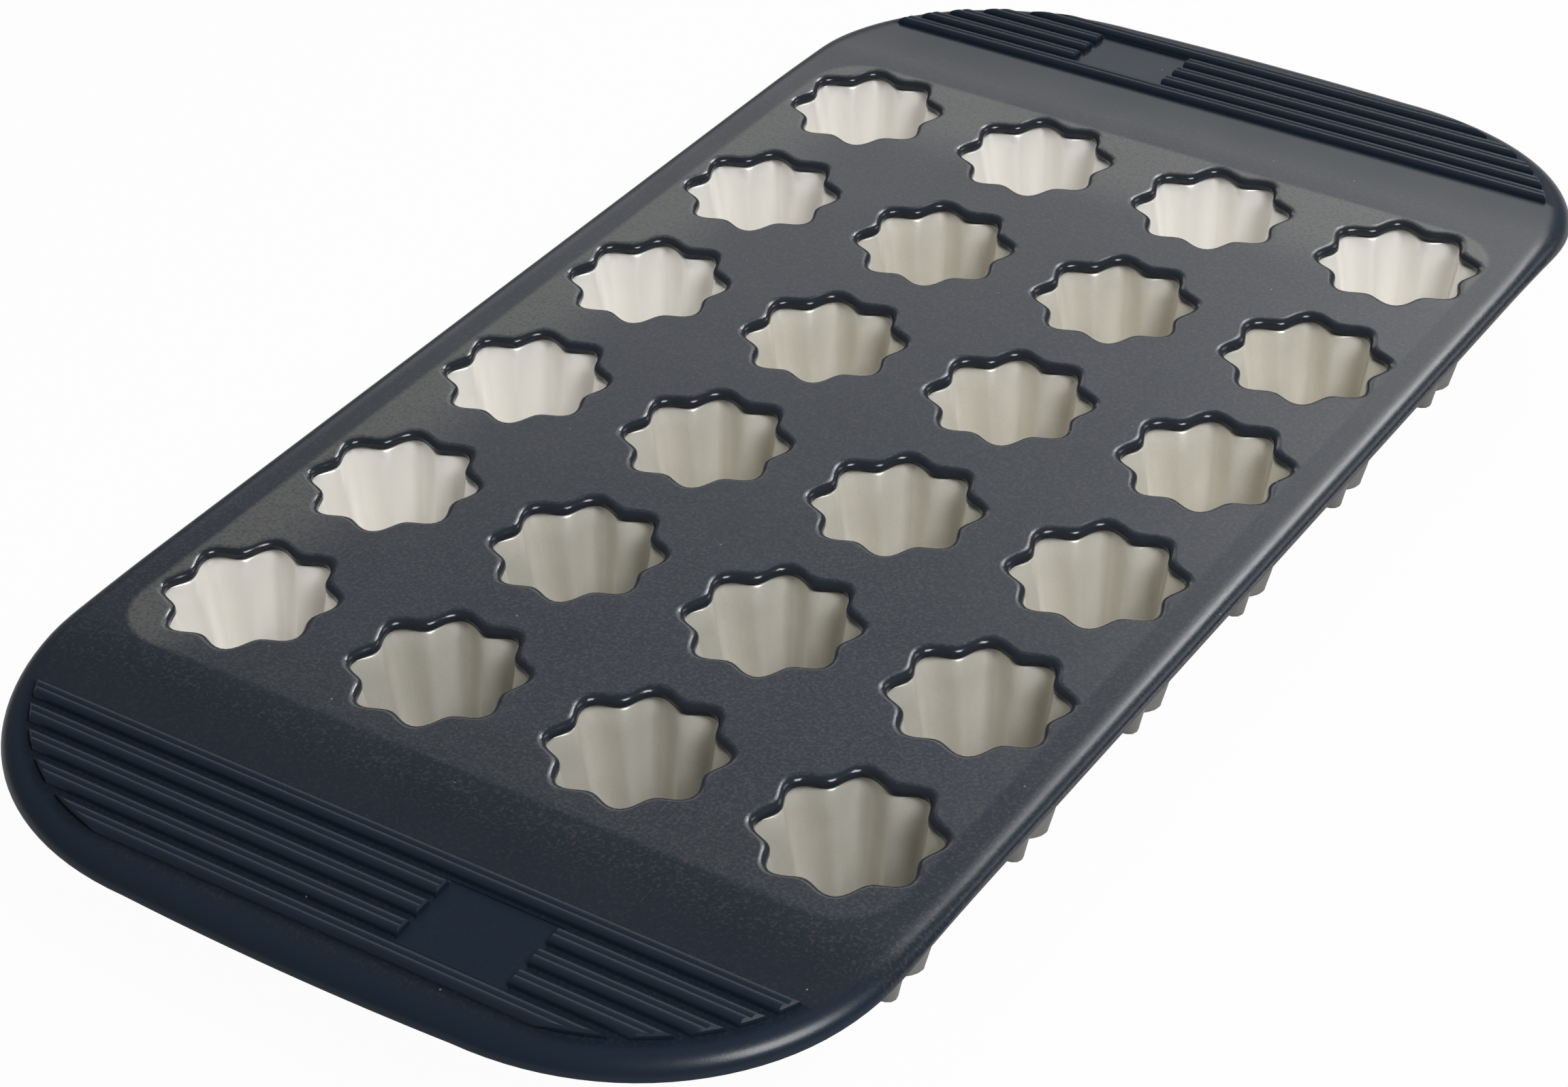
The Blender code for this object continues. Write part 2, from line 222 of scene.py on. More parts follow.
class Bench:
    """Small set of modelling steps on one object at a time."""

    nudge: float = 0.001 * MM

    @staticmethod
    def clear() -> None:
        """Deselect everything and leave edit mode."""
        if bpy.context.object and bpy.context.object.mode != "OBJECT":
            bpy.ops.object.mode_set(mode="OBJECT")
        bpy.ops.object.select_all(action="DESELECT")

    @staticmethod
    def hold(item: Item) -> None:
        """Select one object alone and make it active."""
        Bench.clear()
        item.select_set(True)
        bpy.context.view_layer.objects.active = item

    @staticmethod
    @contextmanager
    def editing(item: Item) -> Iterator[None]:
        """Keep one object in edit mode for a few steps, with all of it selected first.

        Args:
            item: The mesh object to edit.
        """
        Bench.hold(item)
        bpy.ops.object.mode_set(mode="EDIT")
        bpy.ops.mesh.select_all(action="SELECT")
        yield
        bpy.ops.object.mode_set(mode="OBJECT")

    @staticmethod
    def ring(name: str, places: Sequence[Place]) -> Item:
        """Add a filled circle and set its points on a ring.

        Args:
            name: The new object's name.
            places: Places of the ring, in order.

        Returns:
            The new object, at the origin.
        """
        Bench.clear()
        bpy.ops.mesh.primitive_circle_add(vertices=len(places), radius=1.0, fill_type="NGON")
        item = bpy.context.object
        item.name = name
        for point, place in zip(item.data.vertices, places):
            point.co = place
        return item

    @staticmethod
    def set_points(item: Item, ring: Sequence[Place]) -> None:
        """Set the selected points on a ring, in the order of their turn round the middle.

        Args:
            item: The object in edit mode.
            ring: As many places as there are selected points.
        """
        shape = bmesh.from_edit_mesh(item.data)
        picked = [point for point in shape.verts if point.select]
        picked.sort(key=lambda point: math.atan2(point.co.y, point.co.x))
        places = sorted(ring, key=lambda place: math.atan2(place[1], place[0]))
        for point, place in zip(picked, places):
            point.co = place
        bmesh.update_edit_mesh(item.data)

    @staticmethod
    def pull(item: Item, rings: Sequence[Sequence[Place]]) -> None:
        """Extrude the border of an open shell from ring to ring, in edit mode.

        Args:
            item: The object in edit mode.
            rings: Rings of places, all round the origin.
        """
        bpy.ops.mesh.select_mode(type="EDGE")
        bpy.ops.mesh.select_all(action="DESELECT")
        shape = bmesh.from_edit_mesh(item.data)
        for edge in [edge for edge in shape.edges if edge.is_boundary]:
            edge.select_set(True)
        bmesh.update_edit_mesh(item.data)
        for ring in rings:
            bpy.ops.mesh.extrude_edges_move(
                TRANSFORM_OT_translate={"value": (0.0, 0.0, Bench.nudge)}
            )
            Bench.set_points(item, ring)

    @staticmethod
    def loft(name: str, rings: Sequence[Sequence[Place]]) -> Item:
        """Closed body through a row of rings, each pulled out of the one before.

        Args:
            name: The new object's name.
            rings: Rings of places, from the underside up, all round the origin.

        Returns:
            The new object, closed and facing out.
        """
        item = Bench.ring(name, rings[0])
        with Bench.editing(item):
            Bench.pull(item, rings[1:])
            bpy.ops.mesh.edge_face_add()
        Bench.face_out(item)
        return item

    @staticmethod
    def extrude(item: Item, run: Place) -> Item:
        """Pull a filled ring out into a closed body.

        Args:
            item: The filled ring.
            run: How far it is pulled, and which way.

        Returns:
            The same object, facing out.
        """
        with Bench.editing(item):
            bpy.ops.mesh.extrude_region_move(TRANSFORM_OT_translate={"value": run})
        Bench.face_out(item)
        return item

    @staticmethod
    def prism(name: str, outline: Sequence[Point], low: float, high: float) -> Item:
        """Upright prism with any outline.

        Args:
            name: The new object's name.
            outline: Points in plan, in order.
            low: Height of its underside.
            high: Height of its top.

        Returns:
            The new object, closed and facing out.
        """
        item = Bench.ring(name, [(x, y, low) for x, y in outline])
        return Bench.extrude(item, (0.0, 0.0, high - low))

    @staticmethod
    def bar(name: str, section: Sequence[Point], half_width: float) -> Item:
        """Bar across the tray with any section.

        Args:
            name: The new object's name.
            section: Places along the tray and up, in order.
            half_width: Half of the bar's length.

        Returns:
            The new object, closed and facing out.
        """
        item = Bench.ring(name, [(-half_width, y, z) for y, z in section])
        return Bench.extrude(item, (2 * half_width, 0.0, 0.0))

    @staticmethod
    def apply(item: Item, kind: str, **settings: object) -> None:
        """Add a modifier with its settings and apply it.

        Args:
            item: The object to change.
            kind: Blender's name for the modifier.
            **settings: The modifier's properties.
        """
        Bench.hold(item)
        modifier = item.modifiers.new(kind.lower(), kind)
        for name, value in settings.items():
            setattr(modifier, name, value)
        bpy.ops.object.modifier_apply(modifier=modifier.name)

    @staticmethod
    def combine(item: Item, tool: Item, operation: str) -> None:
        """Cut, join or trim an object with another, which is used up.

        Args:
            item: The object that stays.
            tool: The other object.
            operation: DIFFERENCE, UNION or INTERSECT.
        """
        Bench.apply(item, "BOOLEAN", object=tool, operation=operation, solver="EXACT")
        bpy.data.objects.remove(tool, do_unlink=True)

    @staticmethod
    def face_out(item: Item) -> None:
        """Turn every face outwards."""
        with Bench.editing(item):
            bpy.ops.mesh.normals_make_consistent(inside=False)

    @staticmethod
    def shade(item: Item, degrees: float) -> None:
        """Shade an object smooth, except at edges sharper than an angle."""
        Bench.hold(item)
        bpy.ops.object.shade_smooth_by_angle(angle=math.radians(degrees))

    @staticmethod
    def coat(item: Item, material: bpy.types.Material) -> None:
        """Give an object one material alone."""
        item.data.materials.clear()
        item.data.materials.append(material)

    @staticmethod
    def join(items: Sequence[Item]) -> Item:
        """Join objects into the first of them.

        Args:
            items: The objects to join.

        Returns:
            The first object.
        """
        Bench.hold(items[0])
        for item in items[1:]:
            item.select_set(True)
        bpy.ops.object.join()
        return items[0]

    @staticmethod
    def copies(master: Item, places: Iterator[tuple[str, Point]]) -> list[Item]:
        """Copy an object to some places, each copy with its own mesh, and remove it.

        Args:
            master: The object, modelled round the origin.
            places: Name and middle in plan of each copy.

        Returns:
            The copies, in order.
        """
        made = []
        for name, (x, y) in places:
            item = new_object(name, master.data.copy())
            item.data.transform(Matrix.Translation((x, y, 0.0)))
            made.append(item)
        bpy.data.objects.remove(master, do_unlink=True)
        return made


class Finish:
    """Shader nodes of one material, added one after another."""

    def __init__(self, name: str) -> None:
        """Start an empty material that ends in a Principled shader."""
        self.material = bpy.data.materials.new(name)
        self.material.use_nodes = True
        self.tree = self.material.node_tree
        self.shader = self.tree.nodes["Principled BSDF"]
        self.place = self.tree.nodes.new("ShaderNodeTexCoord").outputs["Object"]

    def add(self, kind: str, **settings: object) -> bpy.types.Node:
        """Add a node.

        Args:
            kind: Blender's name for the node.
            **settings: The node's properties.

        Returns:
            The node.
        """
        node = self.tree.nodes.new(kind)
        for name, value in settings.items():
            setattr(node, name, value)
        return node

    def feed(self, node: bpy.types.Node, values: dict[str | int, float | Colour | Socket]) -> None:
        """Set a node's inputs.

        Args:
            node: The node.
            values: Number, colour or socket for each input, by the input's name or number.
        """
        for key, value in values.items():
            socket = node.inputs[key]
            if isinstance(value, Socket):
                self.tree.links.new(value, socket)
            elif isinstance(value, tuple):
                socket.default_value = (*value, 1.0)
            else:
                socket.default_value = value

    def maths(self, operation: str, *values: float | Socket) -> Socket:
        """Add a Math node.

        Args:
            operation: Blender's name for the operation.
            *values: Its inputs, each a number or a socket.

        Returns:
            The node's output.
        """
        node = self.add("ShaderNodeMath", operation=operation)
        self.feed(node, dict(enumerate(values)))
        return node.outputs[0]

    def plus(self, first: float | Socket, second: float | Socket) -> Socket:
        """Sum of two values."""
        return self.maths("ADD", first, second)

    def minus(self, first: float | Socket, second: float | Socket) -> Socket:
        """First value less the second."""
        return self.maths("SUBTRACT", first, second)

    def times(self, first: float | Socket, second: float | Socket) -> Socket:
        """Product of two values."""
        return self.maths("MULTIPLY", first, second)

    def larger(self, first: float | Socket, second: float | Socket) -> Socket:
        """Larger of two values."""
        return self.maths("MAXIMUM", first, second)

    def size(self, value: Socket) -> Socket:
        """Value without its sign."""
        return self.maths("ABSOLUTE", value)

    def noise(self, scale: float, detail: float, roughness: float = 0.5) -> Socket:
        """Noise on the object's own coordinates.

        Args:
            scale: Cells in a metre.
            detail: Finer layers.
            roughness: Weight of the finer layers.

        Returns:
            The noise, from 0 to 1.
        """
        node = self.add("ShaderNodeTexNoise")
        inputs = {"Scale": scale, "Detail": detail, "Roughness": roughness, "Vector": self.place}
        self.feed(node, inputs)
        return node.outputs["Fac"]

    def fade(self, value: Socket, span: Span) -> Socket:
        """Fade smoothly from 0 to 1.

        Args:
            value: The socket that drives the fade.
            span: Values at which the result is 0 and 1.

        Returns:
            The fade, from 0 to 1.
        """
        node = self.add("ShaderNodeMapRange", interpolation_type="SMOOTHSTEP")
        self.feed(node, {"Value": value, "From Min": span[0], "From Max": span[1]})
        return node.outputs["Result"]

    def blend(self, factor: Socket, first: Colour | Socket, second: Colour | Socket) -> Socket:
        """Mix two colours.

        Args:
            factor: Share of the second colour.
            first: A colour or a socket.
            second: A colour or a socket.

        Returns:
            The mixed colour.
        """
        node = self.add("ShaderNodeMix", data_type="RGBA")
        # The node has sockets for each kind of data, and these are the ones for colours.
        self.feed(node, {0: factor, 6: first, 7: second})
        return node.outputs[2]

    def bump(self, height: Socket, distance: float, strength: float = 1.0) -> bpy.types.Node:
        """Turn a height into a normal.

        Args:
            height: The height, from 0 to 1.
            distance: Real height of the bump.
            strength: How much of the bump shows.

        Returns:
            The Bump node.
        """
        node = self.add("ShaderNodeBump")
        self.feed(node, {"Strength": strength, "Distance": distance, "Height": height})
        return node

    def split(self, vector: Socket) -> tuple[Socket, Socket, Socket]:
        """Take a vector apart.

        Args:
            vector: The vector's socket.

        Returns:
            Its three parts.
        """
        node = self.add("ShaderNodeSeparateXYZ")
        self.feed(node, {0: vector})
        return node.outputs[0], node.outputs[1], node.outputs[2]


@dataclass(frozen=True)
class SiliconeFinish:
    """Matt dark silicone, paler where the carrier plate lies under it, with painted sheen along its
    left and back borders.

    Noise is given in cells in a metre.  A fade holds the places or values
    between which it goes from none to all.

    Attributes:
        navy: Colour of the silicone by itself.
        rib: Colour of the ribs, a little bluer.
        edge: Colour of the openings' edges.
        over_plate: Colour where the plate lies under the sheet.
        near_border: Colour along the near border of that zone.
        painted_sheen: Colour painted along its left and back borders as painted sheen, the palest.
        zone_centre: Middle of the paler zone.
        zone_half: Half width and half length of the zone.
        zone_corner: Radius of its corners.
        zone_edge: Width of its soft edge.
        near_fade: Fade along the tray to the near border.
        painted_light_left_fade: Fade across the tray to the painted sheen at the left border.
        painted_light_back_fade: Fade along the tray to the painted sheen at the back border.
        blotch_noise: Noise of the zone's cooler blotches.
        blotch_fade: Fade of that noise.
        blotch_navy: Share of navy in a blotch.
        blotch_share: How much of the blotches shows.
        rib_fade: Fade over the sheet's top, up to the ribs.
        edge_fade: Fade under the sheet's top, down to the edges.
        grip_fade: Fade past the bend, to the grips.
        rim_blur: Half width of the fade to the rim.
        roughness: Roughness of the matt sheet.
        polish: Roughness of the openings' edges.
        rim_roughness: Roughness of the rim.
        rib_roughness: Roughness of the ribs.
        cloud_noise: Noise of the clouds in the roughness.
        cloud_depth: How much they change it.
        speckle_depth: How much the speckle changes it.
        shine: Specular level.
        grip_dulling: How much lower it is in the grips.
        groove_level: Height of the grooves between the ribs, over the sheet's top.
        groove_fade: Fade of the distance from that height.
        groove_start: Fade past the bend, to the first groove.
        groove_end: Fade past the bend, to the last groove.
        groove_painted_shade: How much lower the specular level is in them, as painted shade.
        ior: Index of refraction.
        speckle_noise: Noise of the speckle.
        dark_speck: Colour of the dark specks.
        dark_fade: Fade of the noise to the dark specks.
        dark_share: How much of them shows.
        pale_speck: Colour of the pale specks.
        pale_fade: Fade of the noise to the pale specks.
        pale_share: How much of them shows.
        grip_pale_loss: How much less of them shows in the grips.
        wave_noise: Noise of the sheet's slight waves.
        wave_height: Height of the waves.
        wave_strength: How much of them shows.
        grain: Noise of the grain.
        grain_height: Height of the grain.
        dust: Colour of the dust.
        dust_size: Cells of the dust in a metre.
        dust_fade: Fade round the middle of a cell.
        dust_cells: Share of the cells that hold a speck of dust.
        dust_share: How much of it shows.
    """

    navy: Colour = (0.0085, 0.0140, 0.0230)
    rib: Colour = (0.0088, 0.0160, 0.0285)
    edge: Colour = (0.0150, 0.0190, 0.0260)
    over_plate: Colour = (0.0270, 0.0320, 0.0420)
    near_border: Colour = (0.0240, 0.0290, 0.0370)
    painted_sheen: Colour = (0.0720, 0.0740, 0.0740)
    zone_centre: Point = (-0.2 * MM, -2.2 * MM)
    zone_half: Point = (83.4 * MM, 129.6 * MM)
    zone_corner: float = 12.0 * MM
    zone_edge: float = 1.5 * MM
    near_fade: Span = (-114.0 * MM, -122.0 * MM)
    painted_light_left_fade: Span = (-58.0 * MM, -78.0 * MM)
    painted_light_back_fade: Span = (94.0 * MM, 114.0 * MM)
    blotch_noise: float = 75.0
    blotch_fade: Span = (0.35, 0.65)
    blotch_navy: float = 0.12
    blotch_share: float = 0.8
    rib_fade: Span = (0.15 * MM, 0.6 * MM)
    edge_fade: Span = (-0.02 * MM, -0.32 * MM)
    grip_fade: Span = (2.0 * MM, 12.0 * MM)
    rim_blur: float = 0.3 * MM
    roughness: float = 0.32
    polish: float = 0.16
    rim_roughness: float = 0.29
    rib_roughness: float = 0.42
    cloud_noise: float = 60.0
    cloud_depth: float = 0.08
    speckle_depth: float = 0.10
    shine: float = 0.5
    grip_dulling: float = 0.08
    groove_level: float = 0.10 * MM
    groove_fade: Span = (0.45 * MM, 0.15 * MM)
    groove_start: Span = (15.5 * MM, 17.0 * MM)
    groove_end: Span = (44.0 * MM, 42.0 * MM)
    groove_painted_shade: float = 0.35
    ior: float = 1.42
    speckle_noise: float = 1500.0
    dark_speck: Colour = (0.010, 0.016, 0.026)
    dark_fade: Span = (0.52, 0.30)
    dark_share: float = 0.45
    pale_speck: Colour = (0.26, 0.22, 0.20)
    pale_fade: Span = (0.48, 0.70)
    pale_share: float = 0.09
    grip_pale_loss: float = 0.06
    wave_noise: float = 38.0
    wave_height: float = 0.20 * MM
    wave_strength: float = 0.4
    grain: float = 2600.0
    grain_height: float = 0.012 * MM
    dust: Colour = (0.42, 0.42, 0.40)
    dust_size: float = 210.0
    dust_fade: Span = (0.050, 0.030)
    dust_cells: float = 0.16
    dust_share: float = 0.45

    def material(
        self, layout: Layout, side: float, slope: float, bend: float
    ) -> bpy.types.Material:
        """Build the material.

        Args:
            layout: Heights of the tray.
            side: Distance across at which the rim starts to round off.
            slope: Slope of the grips.
            bend: Distance along the tray at which the slope starts.

        Returns:
            The new material.
        """
        f = Finish("silicone_matt")
        x, y, z = f.split(f.place)
        along = f.size(y)
        drop = f.times(f.larger(f.minus(along, bend), 0.0), slope)
        rise = f.minus(f.plus(z, drop), layout.sheet_top)
        ribbed = f.fade(rise, self.rib_fade)
        turned = f.fade(rise, self.edge_fade)
        grip = f.fade(along, past(bend, self.grip_fade))
        rim = f.larger(f.fade(f.size(x), past(side, (-self.rim_blur, self.rim_blur))), grip)
        mouth = f.times(turned, f.minus(1.0, rim))
        speckle = f.noise(self.speckle_noise, detail=2.0, roughness=0.6)
        colour = self.speckled(f, self.sheet_colour(f, x, y), speckle, grip)
        colour = f.blend(mouth, colour, self.edge)
        colour = f.blend(f.larger(ribbed, f.times(turned, grip)), colour, self.rib)
        rough = f.plus(self.roughness, f.times(mouth, self.polish - self.roughness))
        outer = f.times(f.times(rim, turned), self.rim_roughness - self.roughness)
        rough = f.plus(rough, outer)
        rough = f.plus(rough, f.times(ribbed, self.rib_roughness - self.roughness))
        cloud = f.minus(f.noise(self.cloud_noise, detail=3.0), 0.5)
        cloud = f.times(cloud, self.cloud_depth)
        cloud = f.plus(cloud, f.times(f.minus(speckle, 0.5), self.speckle_depth))
        waves = f.noise(self.wave_noise, detail=1.0)
        waves = f.bump(waves, self.wave_height, self.wave_strength)
        grain = f.bump(f.noise(self.grain, detail=3.0, roughness=0.6), self.grain_height)
        f.feed(grain, {"Normal": waves.outputs["Normal"]})
        f.feed(f.shader, {
            "Base Color": self.dusted(f, colour),
            "Roughness": f.plus(rough, cloud),
            "Specular IOR Level": self.level(f, rise, along, grip, bend),
            "Normal": grain.outputs["Normal"],
            "IOR": self.ior,
        })
        return f.material

    def level(self, f: Finish, rise: Socket, along: Socket, grip: Socket, bend: float) -> Socket:
        """Specular level: a little lower in the grips, and lowest in their grooves as painted
        shade.

        Args:
            f: The material's nodes.
            rise: Height over the sheet's top.
            along: Distance along the tray.
            grip: Mask of the grips.
            bend: Distance along the tray at which the grips start to slope.

        Returns:
            The level socket.
        """
        shine = f.minus(self.shine, f.times(grip, self.grip_dulling))
        # Painted shade between the ribs: the specular level drops in the grooves.
        groove_shade = f.fade(f.size(f.minus(rise, self.groove_level)), self.groove_fade)
        groove_shade = f.times(groove_shade, f.fade(along, past(bend, self.groove_start)))
        groove_shade = f.times(groove_shade, f.fade(along, past(bend, self.groove_end)))
        return f.minus(shine, f.times(groove_shade, self.groove_painted_shade))

    def sheet_colour(self, f: Finish, x: Socket, y: Socket) -> Socket:
        """Colour of the sheet: navy, paler in a soft-edged rectangle over the plate, with painted
        sheen at its left and back borders.

        Args:
            f: The material's nodes.
            x: Place across the tray.
            y: Place along the tray.

        Returns:
            The colour socket.
        """
        beyond = []
        for place, middle, half in zip((x, y), self.zone_centre, self.zone_half):
            distance = f.size(f.minus(place, middle))
            beyond.append(f.larger(f.minus(distance, half - self.zone_corner), 0.0))
        squares = f.plus(*(f.times(part, part) for part in beyond))
        soft = (self.zone_edge / 2, -self.zone_edge / 2)
        inside = f.fade(f.maths("SQRT", squares), past(self.zone_corner, soft))
        blotch = f.fade(f.noise(self.blotch_noise, detail=2.0), self.blotch_fade)
        kept = 1.0 - self.blotch_navy
        pairs = zip(self.over_plate, self.navy)
        cooler = tuple(kept * plain + self.blotch_navy * navy for plain, navy in pairs)
        tone = f.blend(f.times(blotch, self.blotch_share), self.over_plate, cooler)
        tone = f.blend(f.fade(y, self.near_fade), tone, self.near_border)
        # Painted sheen: the zone grows paler towards its left and back borders.
        outer = f.larger(f.fade(x, self.painted_light_left_fade), f.fade(y, self.painted_light_back_fade))
        tone = f.blend(outer, tone, self.painted_sheen)
        return f.blend(inside, self.navy, tone)

    def speckled(self, f: Finish, colour: Socket, speckle: Socket, grip: Socket) -> Socket:
        """Vary a colour by a fine speckle, bluer where it is dark and browner where it is pale.

        Args:
            f: The material's nodes.
            colour: The colour to vary.
            speckle: Fine noise, from 0 to 1.
            grip: Mask of the grips, which have fewer pale specks.

        Returns:
            The speckled colour.
        """
        dark = f.times(f.fade(speckle, self.dark_fade), self.dark_share)
        share = f.minus(self.pale_share, f.times(grip, self.grip_pale_loss))
        pale = f.times(f.fade(speckle, self.pale_fade), share)
        return f.blend(pale, f.blend(dark, colour, self.dark_speck), self.pale_speck)

    def dusted(self, f: Finish, colour: Socket) -> Socket:
        """Add a few tiny pale specks of dust to a colour.

        Args:
            f: The material's nodes.
            colour: The colour under the dust.

        Returns:
            The dusted colour.
        """
        cells = f.add("ShaderNodeTexVoronoi")
        f.feed(cells, {"Scale": self.dust_size, "Vector": f.place})
        near = f.fade(cells.outputs["Distance"], self.dust_fade)
        pick = f.add("ShaderNodeSeparateColor")
        f.feed(pick, {0: cells.outputs["Color"]})
        chosen = f.maths("LESS_THAN", pick.outputs[0], self.dust_cells)
        share = f.times(f.times(near, chosen), self.dust_share)
        return f.blend(share, colour, self.dust)


@dataclass(frozen=True)
class MetalFinish:
    """Satin coated metal with a fine grain, with painted light and shade when a painted_light
    colour is given.

    Attributes:
        name: The material's name.
        colour: Base colour.
        shade: Colour of its cloudy patches.
        metallic: Share of metal in the shader.
        roughness: Mean roughness.
        painted_light: Colour of the painted light on the outer left and back cups, or None.
        near_painted_brightness: Painted brightness of the nearest cups beside the middle ones; the
            rest is painted shade.
        near_fade: Fade along the tray to the painted shade of the nearest cups.
        near_shade_kept: How much of the nearest cups' painted shade the painted light keeps.
        painted_light_left_fade: Fade across the tray to the painted light on the left cups.
        painted_light_back_fade: Fade along the tray to the painted light on the back cups.
        painted_outer_shade: Darker colour of the cups' outer sides, painted shade.
        side_fade: Fade of how far a face looks away from its cup's middle.
        cloud_noise: Cells of the patches in a metre.
        cloud_depth: How much the patches change the roughness.
        patch_fade: Fade of the patches and of the grain.
        grain: Grain cells in a metre.
        grain_height: Height of the grain.
        pitch: Distance between the middles of two cups.
    """

    name: str
    colour: Colour
    shade: Colour
    metallic: float
    roughness: float
    painted_light: Colour | None = None
    near_painted_brightness: float = 1.0
    near_fade: Span = (40.0 * MM, -130.0 * MM)
    near_shade_kept: float = 0.6
    painted_light_left_fade: Span = (-42.0 * MM, -46.0 * MM)
    painted_light_back_fade: Span = (86.0 * MM, 90.0 * MM)
    painted_outer_shade: Colour = (0.26, 0.255, 0.24)
    side_fade: Span = (0.05, 0.10)
    cloud_noise: float = 90.0
    cloud_depth: float = 0.08
    patch_fade: Span = (0.3, 0.7)
    grain: float = 3200.0
    grain_height: float = 0.010 * MM
    pitch: float = 44.0 * MM

    def material(self) -> bpy.types.Material:
        """Build the material.

        Returns:
            The new material.
        """
        f = Finish(self.name)
        cloud = f.fade(f.noise(self.cloud_noise, detail=3.0), self.patch_fade)
        speck = f.noise(self.grain, detail=2.0, roughness=0.7)
        tone = f.plus(f.times(cloud, 0.5), f.times(f.fade(speck, self.patch_fade), 0.5))
        colour = f.blend(tone, self.shade, self.colour)
        # Painted light and shade over the grid of cups.
        if self.painted_light is not None:
            # Painted shade: the outer sides of the cups are darker.
            colour = f.blend(self.outside(f), self.painted_light_and_shade(f, colour), self.painted_outer_shade)
        rough = f.times(f.minus(cloud, 0.5), self.cloud_depth)
        f.feed(f.shader, {
            "Base Color": colour,
            "Roughness": f.plus(rough, self.roughness),
            "Metallic": self.metallic,
            "Normal": f.bump(speck, self.grain_height).outputs["Normal"],
        })
        return f.material

    def outside(self, f: Finish) -> Socket:
        """Mask of the cups' outer sides, where a face looks away from its cup's middle and painted
        shade goes.

        Args:
            f: The material's nodes.

        Returns:
            The mask, 1 on the outer sides.
        """
        places = f.split(f.place)
        turns = f.split(f.add("ShaderNodeNewGeometry").outputs["Normal"])
        parts = []
        for place, turn in zip(places[:2], turns[:2]):
            away = f.minus(f.maths("FRACT", f.times(place, 1.0 / self.pitch)), 0.5)
            parts.append(f.times(away, turn))
        return f.fade(f.plus(*parts), self.side_fade)

    def painted_light_and_shade(self, f: Finish, colour: Socket) -> Socket:
        """Grade a colour over the grid as painted light and shade: darker to the front, brightest
        at the left and the back.

        Args:
            f: The material's nodes.
            colour: The colour of the middle cups.

        Returns:
            The colour with its painted light and shade.
        """
        x, y, _z = f.split(f.place)
        # Painted shade: the cups grow darker towards the front.
        painted_shade = f.times(f.fade(y, self.near_fade), 1.0 - self.near_painted_brightness)
        colour = f.blend(painted_shade, colour, (0.0, 0.0, 0.0))
        # Painted light: the left column and back row are brightest, less so at the front.
        outer = f.larger(f.fade(x, self.painted_light_left_fade), f.fade(y, self.painted_light_back_fade))
        outer = f.times(outer, f.minus(1.0, f.times(painted_shade, self.near_shade_kept)))
        return f.blend(outer, colour, self.painted_light)


